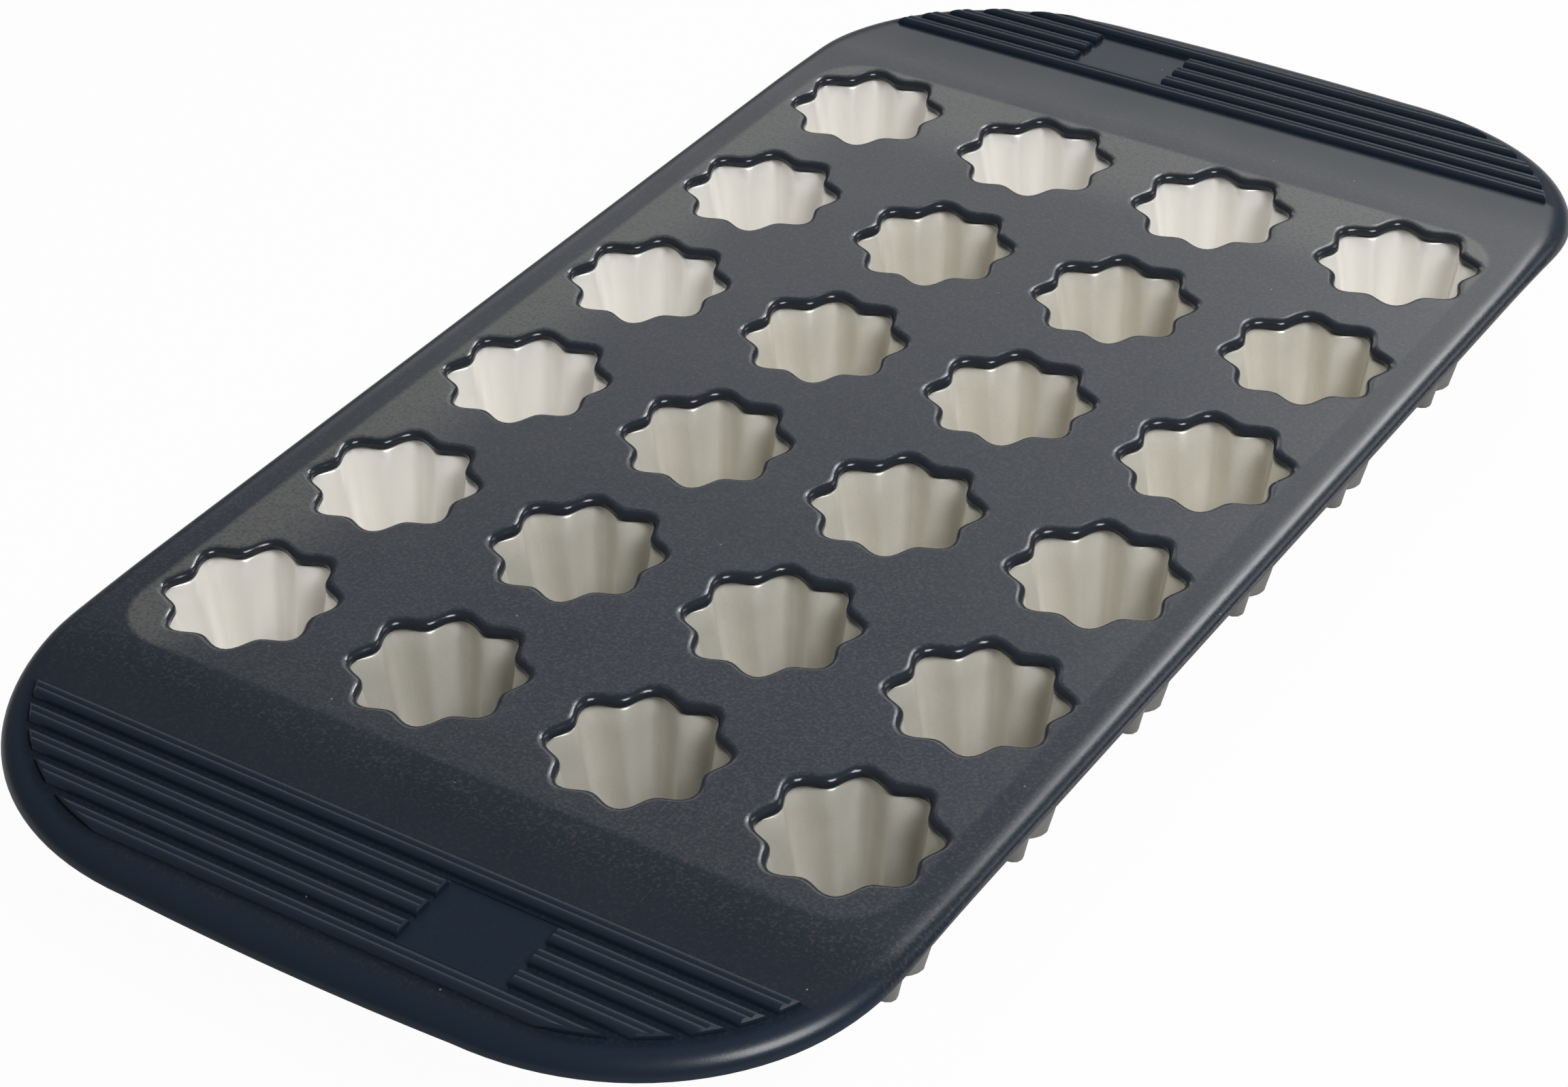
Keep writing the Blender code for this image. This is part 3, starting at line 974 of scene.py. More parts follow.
@dataclass
class Tray:
    """Silicone tray: rim, fluted openings, ribbed grips and the plate's pocket.

    Sides are the long straight edges of the tray, ends the edges past the
    grips.  Depths are counted down from the flat top of the sheet.

    Attributes:
        layout: Grid and heights.
        flutes: Wave of the openings.
        mouth_radius: Mean radius of an opening's wall.
        mouth_flute: Half of the height of its wave.
        mouth_round_width: Width of the round at its top edge.
        mouth_round_depth: Depth of that round.
        mouth_round_turn: Degrees that the round turns through.
        mouth_lip: Depth at which the wall starts to widen towards the cup.
        mouth_flare: How much it widens.
        corner_across: Size of a corner across the tray.
        corner_along: Size of a corner along the tray.
        corner_fullness: Power of the corners' curve, 2 for an ellipse.
        end_bow: How far the ends bow.
        rim_width: Width of the rim's round along the sides.
        rim_depth: Depth of that round.
        rim_fullness: Power of its curve.
        end_rim_width: Width of the rim's round at the ends.
        end_rim_depth: Depth of that round.
        end_rim_start: Depth from which it rises.
        rim_thickness: Depth of the rim's underside at the skirt.
        side_edge: Depth of the outermost edge along the sides.
        end_edge: Depth of the outermost edge at the ends.
        end_under: How far the underside of the ends lies below that edge.
        under_fullness: Power of the underside's curve.
        side_straight: Distance along the tray to the end of a straight side.
        edge_run: Length over which the rim's size changes from side to end.
        skirt_inset: Inset of the skirt from the outline.
        skirt_round: Size of the round at the skirt's foot.
        skirt_chamfer: Where the middle of that round lies.
        ledge_width: Width of the fine ledge along the side of the rim.
        ledge_depth: Depth of the ledge.
        ledge_drop: Height of the step below it.
        ledge_end: Distance along the tray at which the ledge starts to fade out.
        ledge_run: Length over which it fades out.
        lip_thickness: Thickness of the lip under the plate.
        lip_end: Distance along the tray to the end of the lip.
        lip_cover: How far the lip reaches under the outer cups' flanges.
        grip_thickness: Thickness of the grips.
        grip_run: Length of the soft step from the lip to the grip.
        pocket_gap: Clearance round the plate.
        pocket_corner: Radius of the pocket's corners.
        pocket_steps: Edges round one of them.
        ribs: Ribs on each grip.
        rib_spacing: Distance between two ribs.
        rib_start: Distance from the plate's end to the first rib.
        rib_half_width: Half width of a rib's base.
        rib_height: Height of a rib.
        rib_lobe: Radius of a rib's two crests.
        rib_lobe_offset: Distance of a crest from the rib's middle.
        rib_end_inset: Inset of the ribs' ends from the outline.
        rib_end_round: How far the ribs' ends are drawn in, down and along.
        rib_clear: How far a cutter stands over the ribs.
        panel_centre: Distance of the bare panel from the tray's middle line.
        panel_width: Width of the panel.
        panel_depth: Depth of the panel.
        panel_corner: Radius of its corners.
        panel_edge: Height at which its border meets the sheet.
        panel_margins: Margins round its floor, its edge and over it.
        gap_round: How far the ribs are drawn in beside the panel, down and across.
        grip_slope: Slope of the grips.
        bend_start: Distance from the plate's end to the middle of the bend.
        bend_half: Half length of the bend.
        overcut: How far cutters reach past what they cut.
        side_steps: Edges at the end of a side and under the rim.
        corner_steps: Edges round a corner.
        end_steps: Edges along half an end.
        rim_steps: Edges over the rim's round.
        mouth_steps: Edges over an opening's round.
        bend_steps: Cuts across a bend.
        step_steps: Edges over the soft step of a grip.
        lobe_steps: Edges round a rib's crest.
        small_steps: Edges round a corner of the panel.
        smooth_angle: Angle in degrees up to which edges are shaded smooth.
        finish: The silicone.
    """

    layout: Layout
    flutes: Flutes
    mouth_radius: float = 15.3 * MM
    mouth_flute: float = 1.35 * MM
    mouth_round_width: float = 2.4 * MM
    mouth_round_depth: float = 1.2 * MM
    mouth_round_turn: float = 78.0
    mouth_lip: float = 1.9 * MM
    mouth_flare: float = 0.9 * MM
    corner_across: float = 57.0 * MM
    corner_along: float = 51.5 * MM
    corner_fullness: float = 2.08
    end_bow: float = 5.8 * MM
    rim_width: float = 4.4 * MM
    rim_depth: float = 2.0 * MM
    rim_fullness: float = 2.3
    end_rim_width: float = 6.4 * MM
    end_rim_depth: float = 3.9 * MM
    end_rim_start: float = 3.3 * MM
    rim_thickness: float = 4.6 * MM
    side_edge: float = 2.2 * MM
    end_edge: float = 3.8 * MM
    end_under: float = 0.15 * MM
    under_fullness: float = 1.5
    side_straight: float = 108.0 * MM
    edge_run: float = 52.0 * MM
    skirt_inset: float = 2.8 * MM
    skirt_round: float = 0.5 * MM
    skirt_chamfer: float = 0.15 * MM
    ledge_width: float = 0.2 * MM
    ledge_depth: float = 1.45 * MM
    ledge_drop: float = 0.06 * MM
    ledge_end: float = 112.0 * MM
    ledge_run: float = 16.0 * MM
    lip_thickness: float = 1.8 * MM
    lip_end: float = 134.7 * MM
    lip_cover: float = 1.1 * MM
    grip_thickness: float = 4.4 * MM
    grip_run: float = 7.0 * MM
    pocket_gap: float = 0.3 * MM
    pocket_corner: float = 6.0 * MM
    pocket_steps: int = 8
    ribs: int = 5
    rib_spacing: float = 5.5 * MM
    rib_start: float = 20.5 * MM
    rib_half_width: float = 2.0 * MM
    rib_height: float = 1.4 * MM
    rib_lobe: float = 1.15 * MM
    rib_lobe_offset: float = 0.70 * MM
    rib_end_inset: float = 5.6 * MM
    rib_end_round: Span = (0.5 * MM, 0.5 * MM)
    rib_clear: float = 0.1 * MM
    panel_centre: float = 26.5 * MM
    panel_width: float = 23.0 * MM
    panel_depth: float = 0.2 * MM
    panel_corner: float = 0.6 * MM
    panel_edge: float = 0.05 * MM
    panel_margins: tuple[float, float, float] = (0.4 * MM, 0.65 * MM, 0.7 * MM)
    gap_round: Span = (0.45 * MM, 0.4 * MM)
    grip_slope: float = 0.066
    bend_start: float = 2.0 * MM
    bend_half: float = 5.0 * MM
    overcut: float = 1.0 * MM
    side_steps: int = 6
    corner_steps: int = 28
    end_steps: int = 10
    rim_steps: int = 10
    mouth_steps: int = 8
    bend_steps: int = 14
    step_steps: int = 12
    lobe_steps: int = 8
    small_steps: int = 4
    smooth_angle: float = 32.0
    finish: SiliconeFinish = field(default_factory=SiliconeFinish)

    def __post_init__(self) -> None:
        """Read the sizes that the frame gives."""
        low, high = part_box("silicone_frame")
        plate_low, plate_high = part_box("carrier_plate")
        self.half_width = high.x
        self.half_length = high.y
        self.underside = low.z
        self.plate_half_width = plate_high.x
        self.plate_half_length = plate_high.y

    def perimeter(self) -> list[Point]:
        """Outline of the tray: straight sides, full corners and slightly bowed ends.

        Returns:
            Points in order, anticlockwise.
        """
        end_x = self.half_width - self.corner_across
        start = self.end_of(end_x) - self.corner_along
        run = start - self.side_straight
        quarter = []
        for step in range(self.side_steps):
            quarter.append((self.half_width, self.side_straight + run * step / self.side_steps))
        for step in range(self.corner_steps + 1):
            angle = math.pi / 2 * step / self.corner_steps
            across = max(math.cos(angle), 0.0) ** (2 / self.corner_fullness)
            along = math.sin(angle) ** (2 / self.corner_fullness)
            x = end_x + self.corner_across * across
            quarter.append((x, start + self.corner_along * along))
        for step in range(1, self.end_steps + 1):
            x = end_x * (1 - step / self.end_steps)
            quarter.append((x, self.end_of(x)))
        half = quarter + [(-x, y) for x, y in reversed(quarter[:-1])]
        return half + [(-x, -y) for x, y in half]

    def end_of(self, x: float) -> float:
        """How far the bowed end reaches at this x."""
        return self.half_length - self.end_bow * (x / self.half_width) ** 2

    def ring(
        self, inset: Callable[[float], float], depth: Callable[[float], float]
    ) -> list[Place]:
        """Ring round the tray, at an inset and a depth that follow the place along it.

        Args:
            inset: Inset from the outline at a y.
            depth: Depth below the sheet's top at a y.

        Returns:
            Places in order, anticlockwise.
        """
        outline = self.perimeter()
        places = []
        for index, (x, y) in enumerate(outline):
            before, after = outline[index - 1], outline[(index + 1) % len(outline)]
            run_x, run_y = after[0] - before[0], after[1] - before[1]
            share = inset(y) / math.hypot(run_x, run_y)
            places.append((x - share * run_y, y + share * run_x, self.layout.sheet_top - depth(y)))
        return places

    def level_ring(self, inset: float, depth: float) -> list[Place]:
        """Ring round the tray at one inset and one depth."""
        return self.ring(lambda _y: inset, lambda _y: depth)

    def between(self, y: float, at_side: float, at_end: float) -> float:
        """Size that changes smoothly from the tray's sides to its ends."""
        share = smooth((abs(y) - self.side_straight) / self.edge_run)
        return at_side + (at_end - at_side) * share

    def edge_depth(self, y: float) -> float:
        """Depth of the rim's outermost edge: least along the sides, most at the ends."""
        return self.between(y, self.side_edge, self.end_edge)

    def round_start(self, y: float) -> float:
        """Depth from which the rim's rounded top rises."""
        return self.between(y, self.ledge_depth, self.end_rim_start)

    def round_depth(self, y: float) -> float:
        """Depth of the rim's rounded top."""
        return self.between(y, self.rim_depth, self.end_rim_depth)

    def ledge(self, y: float) -> float:
        """Width of the fine ledge along the side of the rim, which fades out at the corners."""
        return self.ledge_width * (1 - smooth((abs(y) - self.ledge_end) / self.ledge_run))

    def blank(self) -> Item:
        """Solid tray with its skirt, ledge and rounded rim, before anything is cut from it.

        Returns:
            The new object.
        """
        floor = self.layout.sheet_top - self.underside
        size, middle = self.skirt_round, self.skirt_chamfer
        foot = ((size, 0.0), (middle, middle), (0.0, size))
        rings = [self.level_ring(self.skirt_inset + inset, floor - rise) for inset, rise in foot]
        rings += [self.lower_ring(step / self.side_steps) for step in range(self.side_steps + 1)]
        rings.append(self.ring(lambda _y: 0.0, lambda y: self.round_start(y) + self.ledge_drop))
        rings.append(self.ring(self.ledge, self.round_start))
        rings += [self.upper_ring(step / self.rim_steps) for step in range(1, self.rim_steps + 1)]
        return Bench.loft("tray", rings)

    def lower_ring(self, share: float) -> list[Place]:
        """Ring of the rim's tapered underside.

        Args:
            share: Where it lies, from the skirt (0) out to the rim's edge (1).

        Returns:
            Places in order, anticlockwise.
        """
        angle = math.pi / 2 * share
        inset = self.skirt_inset * (1 - math.sin(angle) ** self.under_fullness)
        fall = max(math.cos(angle), 0.0) ** self.under_fullness

        def depth(y: float) -> float:
            """Depth of the ring: nearly level at the ends."""
            under = self.between(y, self.rim_thickness, self.end_edge + self.end_under)
            return self.edge_depth(y) + (under - self.edge_depth(y)) * fall

        return self.ring(lambda _y: inset, depth)

    def upper_ring(self, share: float) -> list[Place]:
        """Ring of the rim's rounded top.

        Args:
            share: Where it lies, from the ledge (0) in to the flat sheet (1).

        Returns:
            Places in order, anticlockwise.
        """
        power = self.rim_fullness

        def angle(y: float) -> float:
            """Place on the round, as an angle from its outer edge."""
            first = math.asin((1 - self.round_start(y) / self.round_depth(y)) ** (power / 2))
            return first + (math.pi / 2 - first) * share

        def inset(y: float) -> float:
            """Inset of the ring from the outline."""
            width = self.between(y, self.rim_width, self.end_rim_width)
            return max(width * (1 - max(math.cos(angle(y)), 0.0) ** (2 / power)), self.ledge(y))

        def depth(y: float) -> float:
            """Depth of the ring below the sheet's top."""
            return self.round_depth(y) * (1 - math.sin(angle(y)) ** (2 / power))

        return self.ring(inset, depth)

    def grip_cutters(self) -> Item:
        """Blocks that thin the grips from below, with a soft step at the plate's border.

        Returns:
            One object that holds both blocks.
        """
        reach = self.half_length + self.overcut
        bottom = self.underside - self.overcut
        top = self.layout.sheet_top - self.grip_thickness
        section = [(reach, bottom), (reach, top)]
        for step in range(self.step_steps + 1):
            share = step / self.step_steps
            y = self.lip_end + self.grip_run * (1 - share)
            section.append((y, top + (bottom - top) * smooth(share)))
        width = self.half_width + self.overcut
        blocks = []
        for end in (-1, 1):
            blocks.append(Bench.bar("grip_cutter", [(end * y, z) for y, z in section], width))
        return Bench.join(blocks)

    def pocket(self) -> Item:
        """Stepped cutter: a window in the underside, and above it the plate's pocket.

        Returns:
            The new object.
        """
        past_cup = self.layout.flange_radius - self.lip_cover
        x, y = self.layout.corner_cup
        lip_top = self.underside + self.lip_thickness
        half = (x + past_cup, y + past_cup)
        window = round_box(half, self.pocket_corner, self.pocket_steps)
        bottom = self.underside - self.overcut
        item = Bench.prism("pocket", window, bottom, lip_top + self.overcut)
        gap = self.pocket_gap
        half = (self.plate_half_width + gap, self.plate_half_length + gap)
        space = round_box(half, self.pocket_corner, self.pocket_steps)
        upper = Bench.prism("pocket_space", space, lip_top, self.layout.skin_underside)
        Bench.combine(item, upper, "UNION")
        return item

    def mouth_ring(self, out: float, height: float) -> list[Place]:
        """Fluted ring that lies this far outside an opening's wall."""
        return self.flutes.ring(self.mouth_radius + out, self.mouth_flute, height)

    def openings(self) -> Item:
        """Fluted cutters that open the sheet over each cup, round its top edge and thin its lip.

        Returns:
            One object that holds all of them.
        """
        top = self.layout.sheet_top
        low = self.layout.skin_underside - self.layout.seat_gap / 2
        rings = [self.mouth_ring(self.mouth_flare, low), self.mouth_ring(0.0, top - self.mouth_lip)]
        turn = math.radians(self.mouth_round_turn)
        for step in range(self.mouth_steps + 1):
            angle = turn * step / self.mouth_steps
            out = self.mouth_round_width * (1 - math.cos(angle))
            fall = 1 - math.sin(angle) / math.sin(turn)
            rings.append(self.mouth_ring(out, top - self.mouth_round_depth * fall))
        rings.append(self.mouth_ring(out, top + self.overcut))
        master = Bench.loft("opening", rings)
        places = (("opening", middle) for _name, middle in self.layout.cups())
        return Bench.join(Bench.copies(master, places))

    def rib_section(self) -> list[Point]:
        """Section of one rib: two round crests side by side on a tapered base.

        Returns:
            Points along and up, in order, with the sheet's top at 0.
        """
        centre = self.rib_height - self.rib_lobe
        meet = math.acos(-self.rib_lobe_offset / self.rib_lobe)
        right = [(self.rib_half_width, -self.overcut), (self.rib_half_width, 0.0)]
        for step in range(self.lobe_steps + 1):
            angle = meet * step / self.lobe_steps
            y = self.rib_lobe_offset + self.rib_lobe * math.cos(angle)
            right.append((y, centre + self.rib_lobe * math.sin(angle)))
        return right + [(-y, z) for y, z in reversed(right[:-1])]

    def drawn_in(self, size: Span) -> list[Span]:
        """Heights over the sheet and margins of a body that draws in at the ribs' tops.

        Args:
            size: How far it is drawn in, down and sideways.

        Returns:
            Height and margin, from the bottom up.
        """
        top = self.rib_height
        return [(-2 * self.overcut, 0.0), (top - size[0], 0.0), (top + self.rib_clear, size[1])]

    def rib_set(self) -> Item:
        """Ribs of both grips, trimmed inside the rim and broken for a bare panel.

        Returns:
            One object that holds all of the ribs.
        """
        bars = []
        for end in (-1, 1):
            for rib in range(self.ribs):
                middle = end * (self.plate_half_length + self.rib_start + rib * self.rib_spacing)
                section = [(middle + y, self.layout.sheet_top + z) for y, z in self.rib_section()]
                bars.append(Bench.bar("rib", section, self.half_width))
        ribs = Bench.join(bars)
        rings = []
        for rise, inset in self.drawn_in(self.rib_end_round):
            rings.append(self.level_ring(self.rib_end_inset + inset, -rise))
        Bench.combine(ribs, Bench.loft("rib_trim", rings), "INTERSECT")
        for block in self.panel_blocks(self.drawn_in(self.gap_round)):
            Bench.combine(ribs, block, "DIFFERENCE")
        return ribs

    def panel_blocks(self, profile: Sequence[Span]) -> Iterator[Item]:
        """Blocks over the bare panel of each grip.

        Args:
            profile: Heights over the sheet, each with the block's margin round the gap in the ribs.

        Yields:
            One block for each grip.
        """
        start = self.plate_half_length + self.rib_start + self.rib_spacing / 2
        half = (self.ribs - 2) * self.rib_spacing / 2
        rings = []
        for rise, margin in profile:
            size = (self.panel_width / 2 + margin, half)
            outline = round_box(size, self.panel_corner, self.small_steps)
            rings.append([(x, y, self.layout.sheet_top + rise) for x, y in outline])
        for end in (-1, 1):
            block = Bench.loft("panel", rings)
            middle = (-end * self.panel_centre, end * (start + half), 0.0)
            block.data.transform(Matrix.Translation(middle))
            yield block

    def slope(self, item: Item) -> None:
        """Let the two grips slope down past the ends of the plate.

        Args:
            item: The tray.
        """
        first = self.plate_half_length + self.bend_start - self.bend_half
        run = 2 * self.bend_half
        with Bench.editing(item):
            for end in (-1, 1):
                for step in range(self.bend_steps + 1):
                    y = first + run * step / self.bend_steps
                    bpy.ops.mesh.select_all(action="SELECT")
                    bpy.ops.mesh.bisect(plane_co=(0, end * y, 0), plane_no=(0, end, 0))
        for point in item.data.vertices:
            past_bend = abs(point.co.y) - first
            if past_bend > run:
                point.co.z -= self.grip_slope * (past_bend - self.bend_half)
            elif past_bend > 0:
                point.co.z -= self.grip_slope * past_bend ** 2 / (2 * run)

    def build(self) -> Item:
        """Model the tray and dress it.

        Returns:
            The finished piece.
        """
        tray = self.blank()
        Bench.combine(tray, self.grip_cutters(), "DIFFERENCE")
        Bench.combine(tray, self.pocket(), "DIFFERENCE")
        Bench.combine(tray, self.openings(), "DIFFERENCE")
        heights = (-self.panel_depth, self.panel_edge, self.overcut)
        for block in self.panel_blocks(list(zip(heights, self.panel_margins))):
            Bench.combine(tray, block, "DIFFERENCE")
        Bench.combine(tray, self.rib_set(), "UNION")
        self.slope(tray)
        Bench.shade(tray, self.smooth_angle)
        Bench.apply(tray, "WEIGHTED_NORMAL", keep_sharp=True, weight=50)
        tray.name = "silicone_tray"
        side = self.half_width - self.rim_width
        bend = self.plate_half_length + self.bend_start
        Bench.coat(tray, self.finish.material(self.layout, side, self.grip_slope, bend))
        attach(tray, BODY)
        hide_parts("silicone_frame")
        return tray


@dataclass
class CupSet:
    """Fluted cups, modelled once and copied under each opening.

    Attributes:
        layout: Grid and heights.
        flutes: Wave of the walls.
        wall: Thickness of the metal.
        mouth_radius: Mean radius inside the mouth.
        floor_radius: Mean radius inside the floor.
        floor_round: Radius of the round edge outside the floor.
        floor_shares: Radii of the rings on the floor, as shares of its radius.
        mouth_flute: Half of the height of the wave at the mouth.
        floor_flute: Half of the height of the wave at the floor.
        lip_round: Radius of the turn from the wall into the flange.
        wall_steps: Rings up the wall.
        round_steps: Rings round each turn.
        smooth_angle: Angle in degrees up to which edges are shaded smooth.
        finish: The metal, with painted light and shade.
    """

    layout: Layout
    flutes: Flutes
    wall: float = 0.5 * MM
    mouth_radius: float = 16.0 * MM
    floor_radius: float = 11.0 * MM
    floor_round: float = 1.6 * MM
    floor_shares: Span = (0.25, 0.6)
    mouth_flute: float = 1.9 * MM
    floor_flute: float = 1.9 * MM
    lip_round: float = 0.5 * MM
    wall_steps: int = 6
    round_steps: int = 5
    smooth_angle: float = 50.0
    # The cups' finish paints light on the outer cups and shade on the near cups and on their outer
    # sides.
    finish: MetalFinish = MetalFinish(
        "cup_metal", colour=(0.80, 0.775, 0.705), shade=(0.70, 0.68, 0.61), metallic=0.45,
        roughness=0.36, painted_light=(0.92, 0.90, 0.86), near_painted_brightness=0.78,
    )

    def sections(self) -> list[Section]:
        """Rings of the cup, from its inside floor over the flange to its outside floor.

        Returns:
            Mean radius, depth of the flutes and height of each ring.
        """
        top = self.layout.cup_top
        flange = self.layout.flange_radius
        inside = self.wall_side(0.0, self.floor_round - self.wall)
        outside = self.wall_side(self.wall, self.floor_round)
        rings = [(radius, flute, height + self.wall) for radius, flute, height in inside]
        rings += self.turn(top)
        rings += [(flange, 0.0, top), (flange, 0.0, top - self.wall)]
        rings += reversed(outside)
        return rings

    def wall_side(self, offset: float, heel: float) -> list[Section]:
        """Rings of one side of the wall, from the floor's middle up.

        Args:
            offset: How far this side lies outside the inner one.
            heel: Radius of the round edge of the floor.

        Returns:
            Mean radius, depth of the flutes and height above this side's floor.
        """
        height = self.layout.cup_top - self.wall - (0.0 if offset else self.lip_round)
        floor = self.floor_radius + offset
        rings = [(floor * share, self.floor_flute * share, 0.0) for share in self.floor_shares]
        for step in range(self.round_steps + 1):
            angle = math.pi / 2 * step / self.round_steps
            radius = floor - heel * (1 - math.sin(angle))
            rings.append((radius, self.floor_flute, heel * (1 - math.cos(angle))))
        for step in range(1, self.wall_steps + 1):
            up = heel + (height - heel) * step / self.wall_steps
            taper = up / (self.layout.cup_top - self.wall)
            radius = floor + (self.mouth_radius - self.floor_radius) * taper
            flute = self.floor_flute + (self.mouth_flute - self.floor_flute) * taper
            rings.append((radius, flute, up))
        return rings

    def turn(self, top: float) -> list[Section]:
        """Rings of the small round turn from the wall into the flange.

        Args:
            top: Height of the flange's top.

        Returns:
            Mean radius, depth of the flutes and height of each ring.
        """
        rings = []
        for step in range(1, self.round_steps + 1):
            angle = math.pi / 2 * step / self.round_steps
            radius = self.mouth_radius + self.lip_round * (1 - math.cos(angle))
            rings.append((radius, self.mouth_flute, top - self.lip_round * (1 - math.sin(angle))))
        return rings

    def master(self) -> Item:
        """Model one cup in the middle of the grid.

        Returns:
            The new object.
        """
        rings = [self.flutes.ring(*section) for section in self.sections()]
        item = Bench.ring("cup", rings[0])
        with Bench.editing(item):
            bpy.ops.mesh.poke()
            Bench.pull(item, rings[1:])
            bpy.ops.mesh.extrude_edges_move(TRANSFORM_OT_translate={"value": (0.0, 0.0, 0.0)})
            bpy.ops.mesh.merge(type="CENTER")
        Bench.face_out(item)
        self.face_away(item)
        Bench.shade(item, self.smooth_angle)
        return item

    def face_away(self, item: Item) -> None:
        """Turn the shell round if its faces point into the metal.

        Args:
            item: The cup.
        """
        shape = bmesh.new()
        shape.from_mesh(item.data)
        inwards = shape.calc_volume(signed=True) < 0
        shape.free()
        if inwards:
            with Bench.editing(item):
                bpy.ops.mesh.flip_normals()

    def build(self) -> list[Item]:
        """Model the cups and dress them.

        Returns:
            The finished pieces.
        """
        master = self.master()
        Bench.coat(master, self.finish.material())
        names = [name for name, _middle in self.layout.cups()]
        places = ((f"fluted_{name}", middle) for name, middle in self.layout.cups())
        cups = Bench.copies(master, places)
        for name, piece in zip(names, cups):
            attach(piece, BODY)
            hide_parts(name)
        return cups


@dataclass
class Plate:
    """Thin steel carrier plate with a round hole for each cup.

    Attributes:
        layout: Grid and heights.
        hole_radius: Radius of the holes.
        hole_points: Points round a hole.
        corner: Radius of the plate's corners.
        corner_steps: Edges round a corner.
        overcut: How far the punches reach past the plate.
        smooth_angle: Angle in degrees up to which edges are shaded smooth.
        finish: The metal.
    """

    layout: Layout
    hole_radius: float = 18.5 * MM
    hole_points: int = 64
    corner: float = 6.0 * MM
    corner_steps: int = 10
    overcut: float = 1.0 * MM
    smooth_angle: float = 30.0
    finish: MetalFinish = MetalFinish(
        "plate_steel", colour=(0.17, 0.17, 0.17), shade=(0.12, 0.12, 0.125), metallic=0.75,
        roughness=0.38,
    )

    def build(self) -> Item:
        """Model the plate and dress it.

        Returns:
            The finished piece.
        """
        low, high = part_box("carrier_plate")
        outline = round_box((high.x, high.y), self.corner, self.corner_steps)
        plate = Bench.prism("plate", outline, low.z, high.z)
        bottom, top = low.z - self.overcut, high.z + self.overcut
        punches = []
        for _name, centre in self.layout.cups():
            hole = circle(centre, self.hole_radius, self.hole_points)
            punches.append(Bench.prism("punch", hole, bottom, top))
        Bench.combine(plate, Bench.join(punches), "DIFFERENCE")
        Bench.shade(plate, self.smooth_angle)
        plate.name = "steel_plate"
        Bench.coat(plate, self.finish.material())
        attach(plate, BODY)
        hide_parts("carrier_plate")
        return plate


@dataclass(frozen=True)
class Lamp:
    """Soft area lamp that points at the middle of the tray.

    Attributes:
        name: The lamp's name.
        azimuth: Direction from the tray, in degrees from +Y towards +X.
        elevation: Height of that direction, in degrees.
        distance: Distance from the tray.
        size: Width and height of the lamp.
        power: Power in watts.
    """

    name: str
    azimuth: float
    elevation: float
    distance: float
    size: tuple[float, float]
    power: float

    def hang(self) -> None:
        """Add the lamp to the scene."""
        turn, rise = math.radians(self.azimuth), math.radians(self.elevation)
        level = math.cos(rise)
        away = Vector((math.sin(turn) * level, math.cos(turn) * level, math.sin(rise)))
        data = bpy.data.lights.new(self.name, "AREA")
        data.shape = "RECTANGLE"
        data.size, data.size_y = self.size
        data.energy = self.power
        lamp = new_object(self.name, data)
        lamp.location = away * self.distance
        lamp.rotation_euler = (-away).to_track_quat("-Z", "Y").to_euler()


@dataclass(frozen=True)
class Viewpoint:
    """Camera at the photograph's viewing angle.

    Attributes:
        place: Where the camera stands.
        azimuth: Turn of its view from +Y towards -X, in degrees.
        tilt: How far it looks down, in degrees.
        roll: Turn round its own view, in degrees.
        lens: Focal length in millimetres.
        sensor_width: Width of the sensor in millimetres.
        clip_start: Distance from which it sees things.
    """

    place: Place = (0.32658, -0.52507, 0.43781)
    azimuth: float = 33.3153
    tilt: float = 35.3147
    roll: float = -1.1096
    lens: float = 85.185
    sensor_width: float = 36.0
    clip_start: float = 0.01

    def aim(self) -> None:
        """Add the camera and make it the scene's own."""
        turn, dip, roll = (math.radians(angle) for angle in (self.azimuth, self.tilt, self.roll))
        level = math.cos(dip)
        ahead = Vector((-math.sin(turn) * level, math.cos(turn) * level, -math.sin(dip)))
        across = ahead.cross(Vector((0.0, 0.0, 1.0))).normalized()
        upright = across.cross(ahead)
        right = across * math.cos(roll) + upright * math.sin(roll)
        up = upright * math.cos(roll) - across * math.sin(roll)
        turned = Matrix((right, up, -ahead)).transposed().to_4x4()
        data = bpy.data.cameras.new("camera")
        data.lens = self.lens
        data.sensor_width = self.sensor_width
        data.sensor_fit = "HORIZONTAL"
        data.clip_start = self.clip_start
        camera = new_object("camera", data)
        camera.matrix_world = Matrix.Translation(self.place) @ turned
        bpy.context.scene.camera = camera


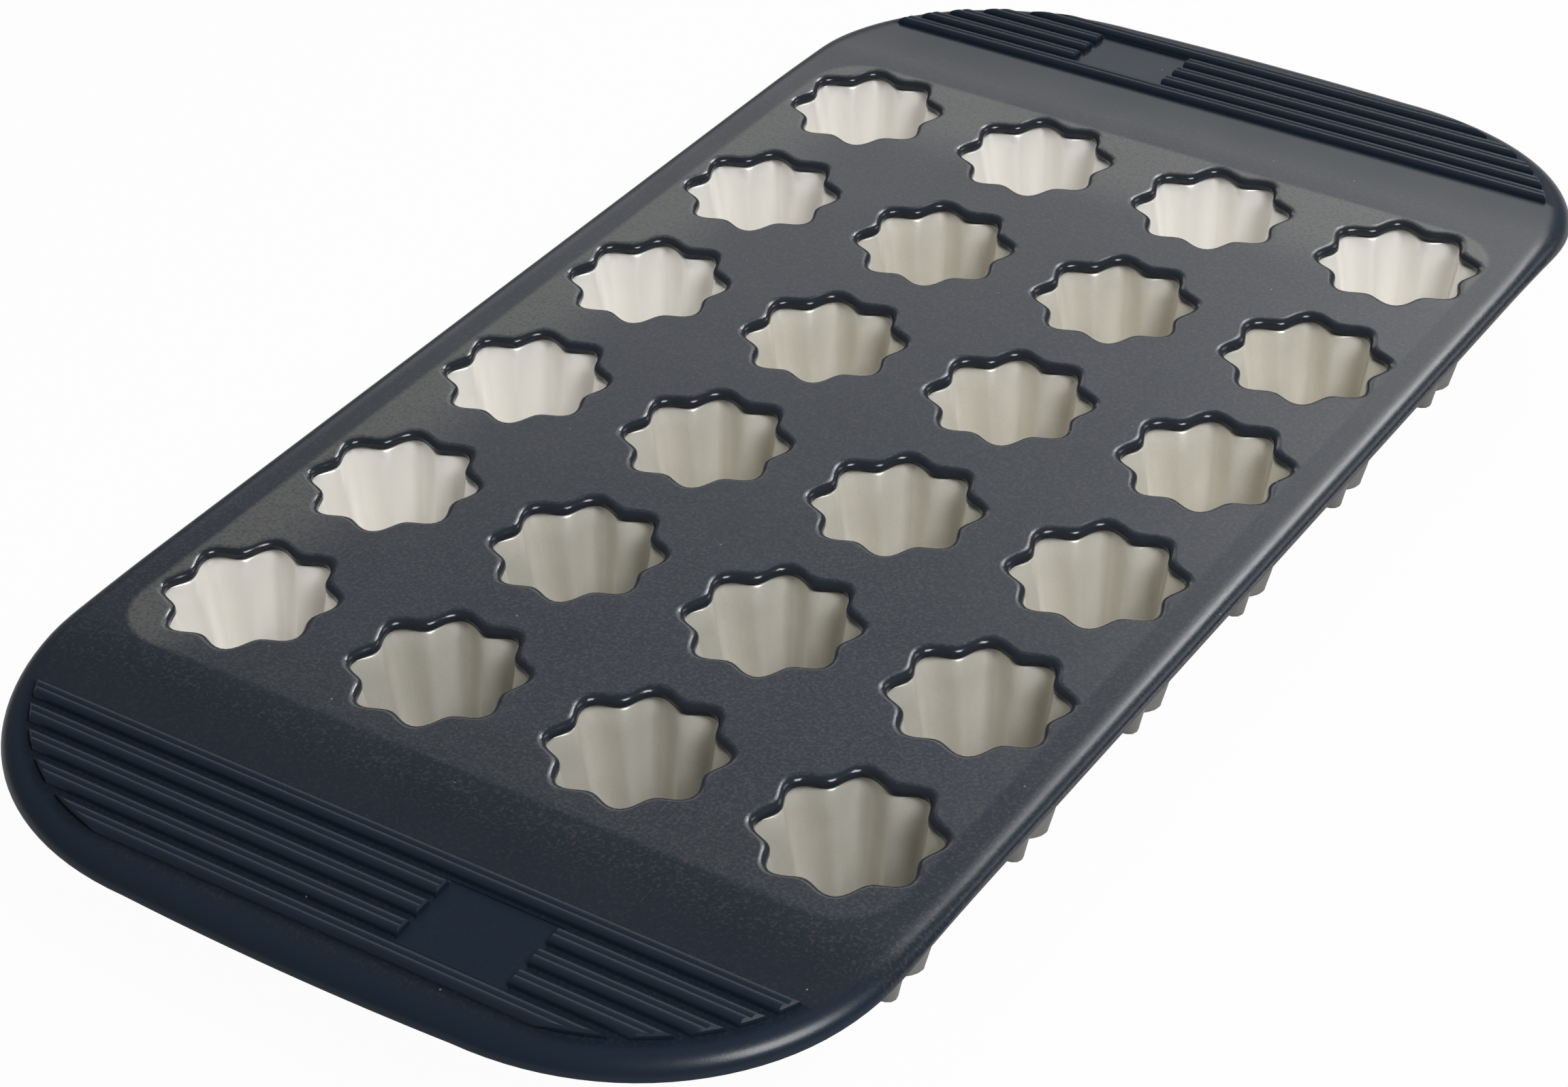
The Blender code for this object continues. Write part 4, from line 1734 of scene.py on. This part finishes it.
@dataclass
class Studio:
    """Plain white floor, soft lamps and a quiet surround.

    Attributes:
        floor_size: Width of the floor.
        floor_drop: How far the floor lies below the cups.
        floor_grey: Grey of the floor to all but the camera.
        floor_roughness: Roughness of the floor.
        floor_glow: Share of white in the floor that the camera sees.
        surround: Strength of the light from all round.
        lamps: The soft lamps.
    """

    floor_size: float = 8.0
    floor_drop: float = 0.05 * MM
    floor_grey: float = 0.55
    floor_roughness: float = 0.9
    floor_glow: float = 0.97
    surround: float = 0.16
    lamps: tuple[Lamp, ...] = (
        Lamp("back_softbox", -30.0, 25.0, 1.6, (1.2, 0.34), 2.4),
        Lamp("rim_softbox", -8.0, 42.0, 1.6, (0.46, 0.36), 2.4),
        Lamp("rim_strip", -3.0, 42.0, 1.6, (0.14, 0.42), 4.2),
        Lamp("right_softbox", 35.0, 30.0, 1.6, (0.7, 0.5), 2.2),
        Lamp("front_softbox", 113.0, 50.0, 1.4, (0.6, 0.6), 18.5),
    )

    def build(self) -> None:
        """Add the floor, the surround, the lamps and the camera."""
        self.floor()
        self.world()
        for lamp in self.lamps:
            lamp.hang()
        Viewpoint().aim()

    def floor(self) -> None:
        """Add the floor, nearly pure white to the camera, with a faint shadow."""
        Bench.clear()
        place = (0.0, 0.0, -self.floor_drop)
        bpy.ops.mesh.primitive_plane_add(size=self.floor_size, location=place)
        floor = bpy.context.object
        floor.name = "floor"
        floor.data.materials.append(self.floor_material())

    def floor_material(self) -> bpy.types.Material:
        """White floor whose own glow shows only to the camera.

        Returns:
            The new material.
        """
        f = Finish("floor_white")
        grey = (self.floor_grey, self.floor_grey, self.floor_grey)
        f.feed(f.shader, {"Base Color": grey, "Roughness": self.floor_roughness})
        glow = f.add("ShaderNodeEmission")
        f.feed(glow, {"Strength": 1.0})
        seen = f.times(f.add("ShaderNodeLightPath").outputs["Is Camera Ray"], self.floor_glow)
        mix = f.add("ShaderNodeMixShader")
        f.feed(mix, {0: seen, 1: f.shader.outputs[0], 2: glow.outputs[0]})
        f.feed(f.tree.nodes["Material Output"], {"Surface": mix.outputs[0]})
        return f.material

    def world(self) -> None:
        """Surround that is white to the camera and dim to everything else."""
        world = bpy.data.worlds.new("surround")
        world.use_nodes = True
        tree = world.node_tree
        light = tree.nodes["Background"]
        light.inputs["Color"].default_value = (1.0, 1.0, 1.0, 1.0)
        path = tree.nodes.new("ShaderNodeLightPath")
        seen = tree.nodes.new("ShaderNodeMath")
        seen.operation = "MAXIMUM"
        tree.links.new(path.outputs["Is Camera Ray"], seen.inputs[0])
        seen.inputs[1].default_value = self.surround
        tree.links.new(seen.outputs[0], light.inputs["Strength"])
        bpy.context.scene.world = world


def report_piece(piece: Item) -> None:
    """Log a piece and how many faces it has."""
    LOG.info("%s: %d faces", piece.name, len(piece.data.polygons))


def main() -> None:
    """Build the mould and its studio."""
    logging.basicConfig(level=logging.INFO, format="%(message)s")
    bpy.context.scene.view_settings.view_transform = "Standard"
    layout = Layout()
    flutes = Flutes()
    report_piece(Tray(layout, flutes).build())
    for cup in CupSet(layout, flutes).build():
        report_piece(cup)
    report_piece(Plate(layout).build())
    Studio().build()


if __name__ == "__main__":
    main()
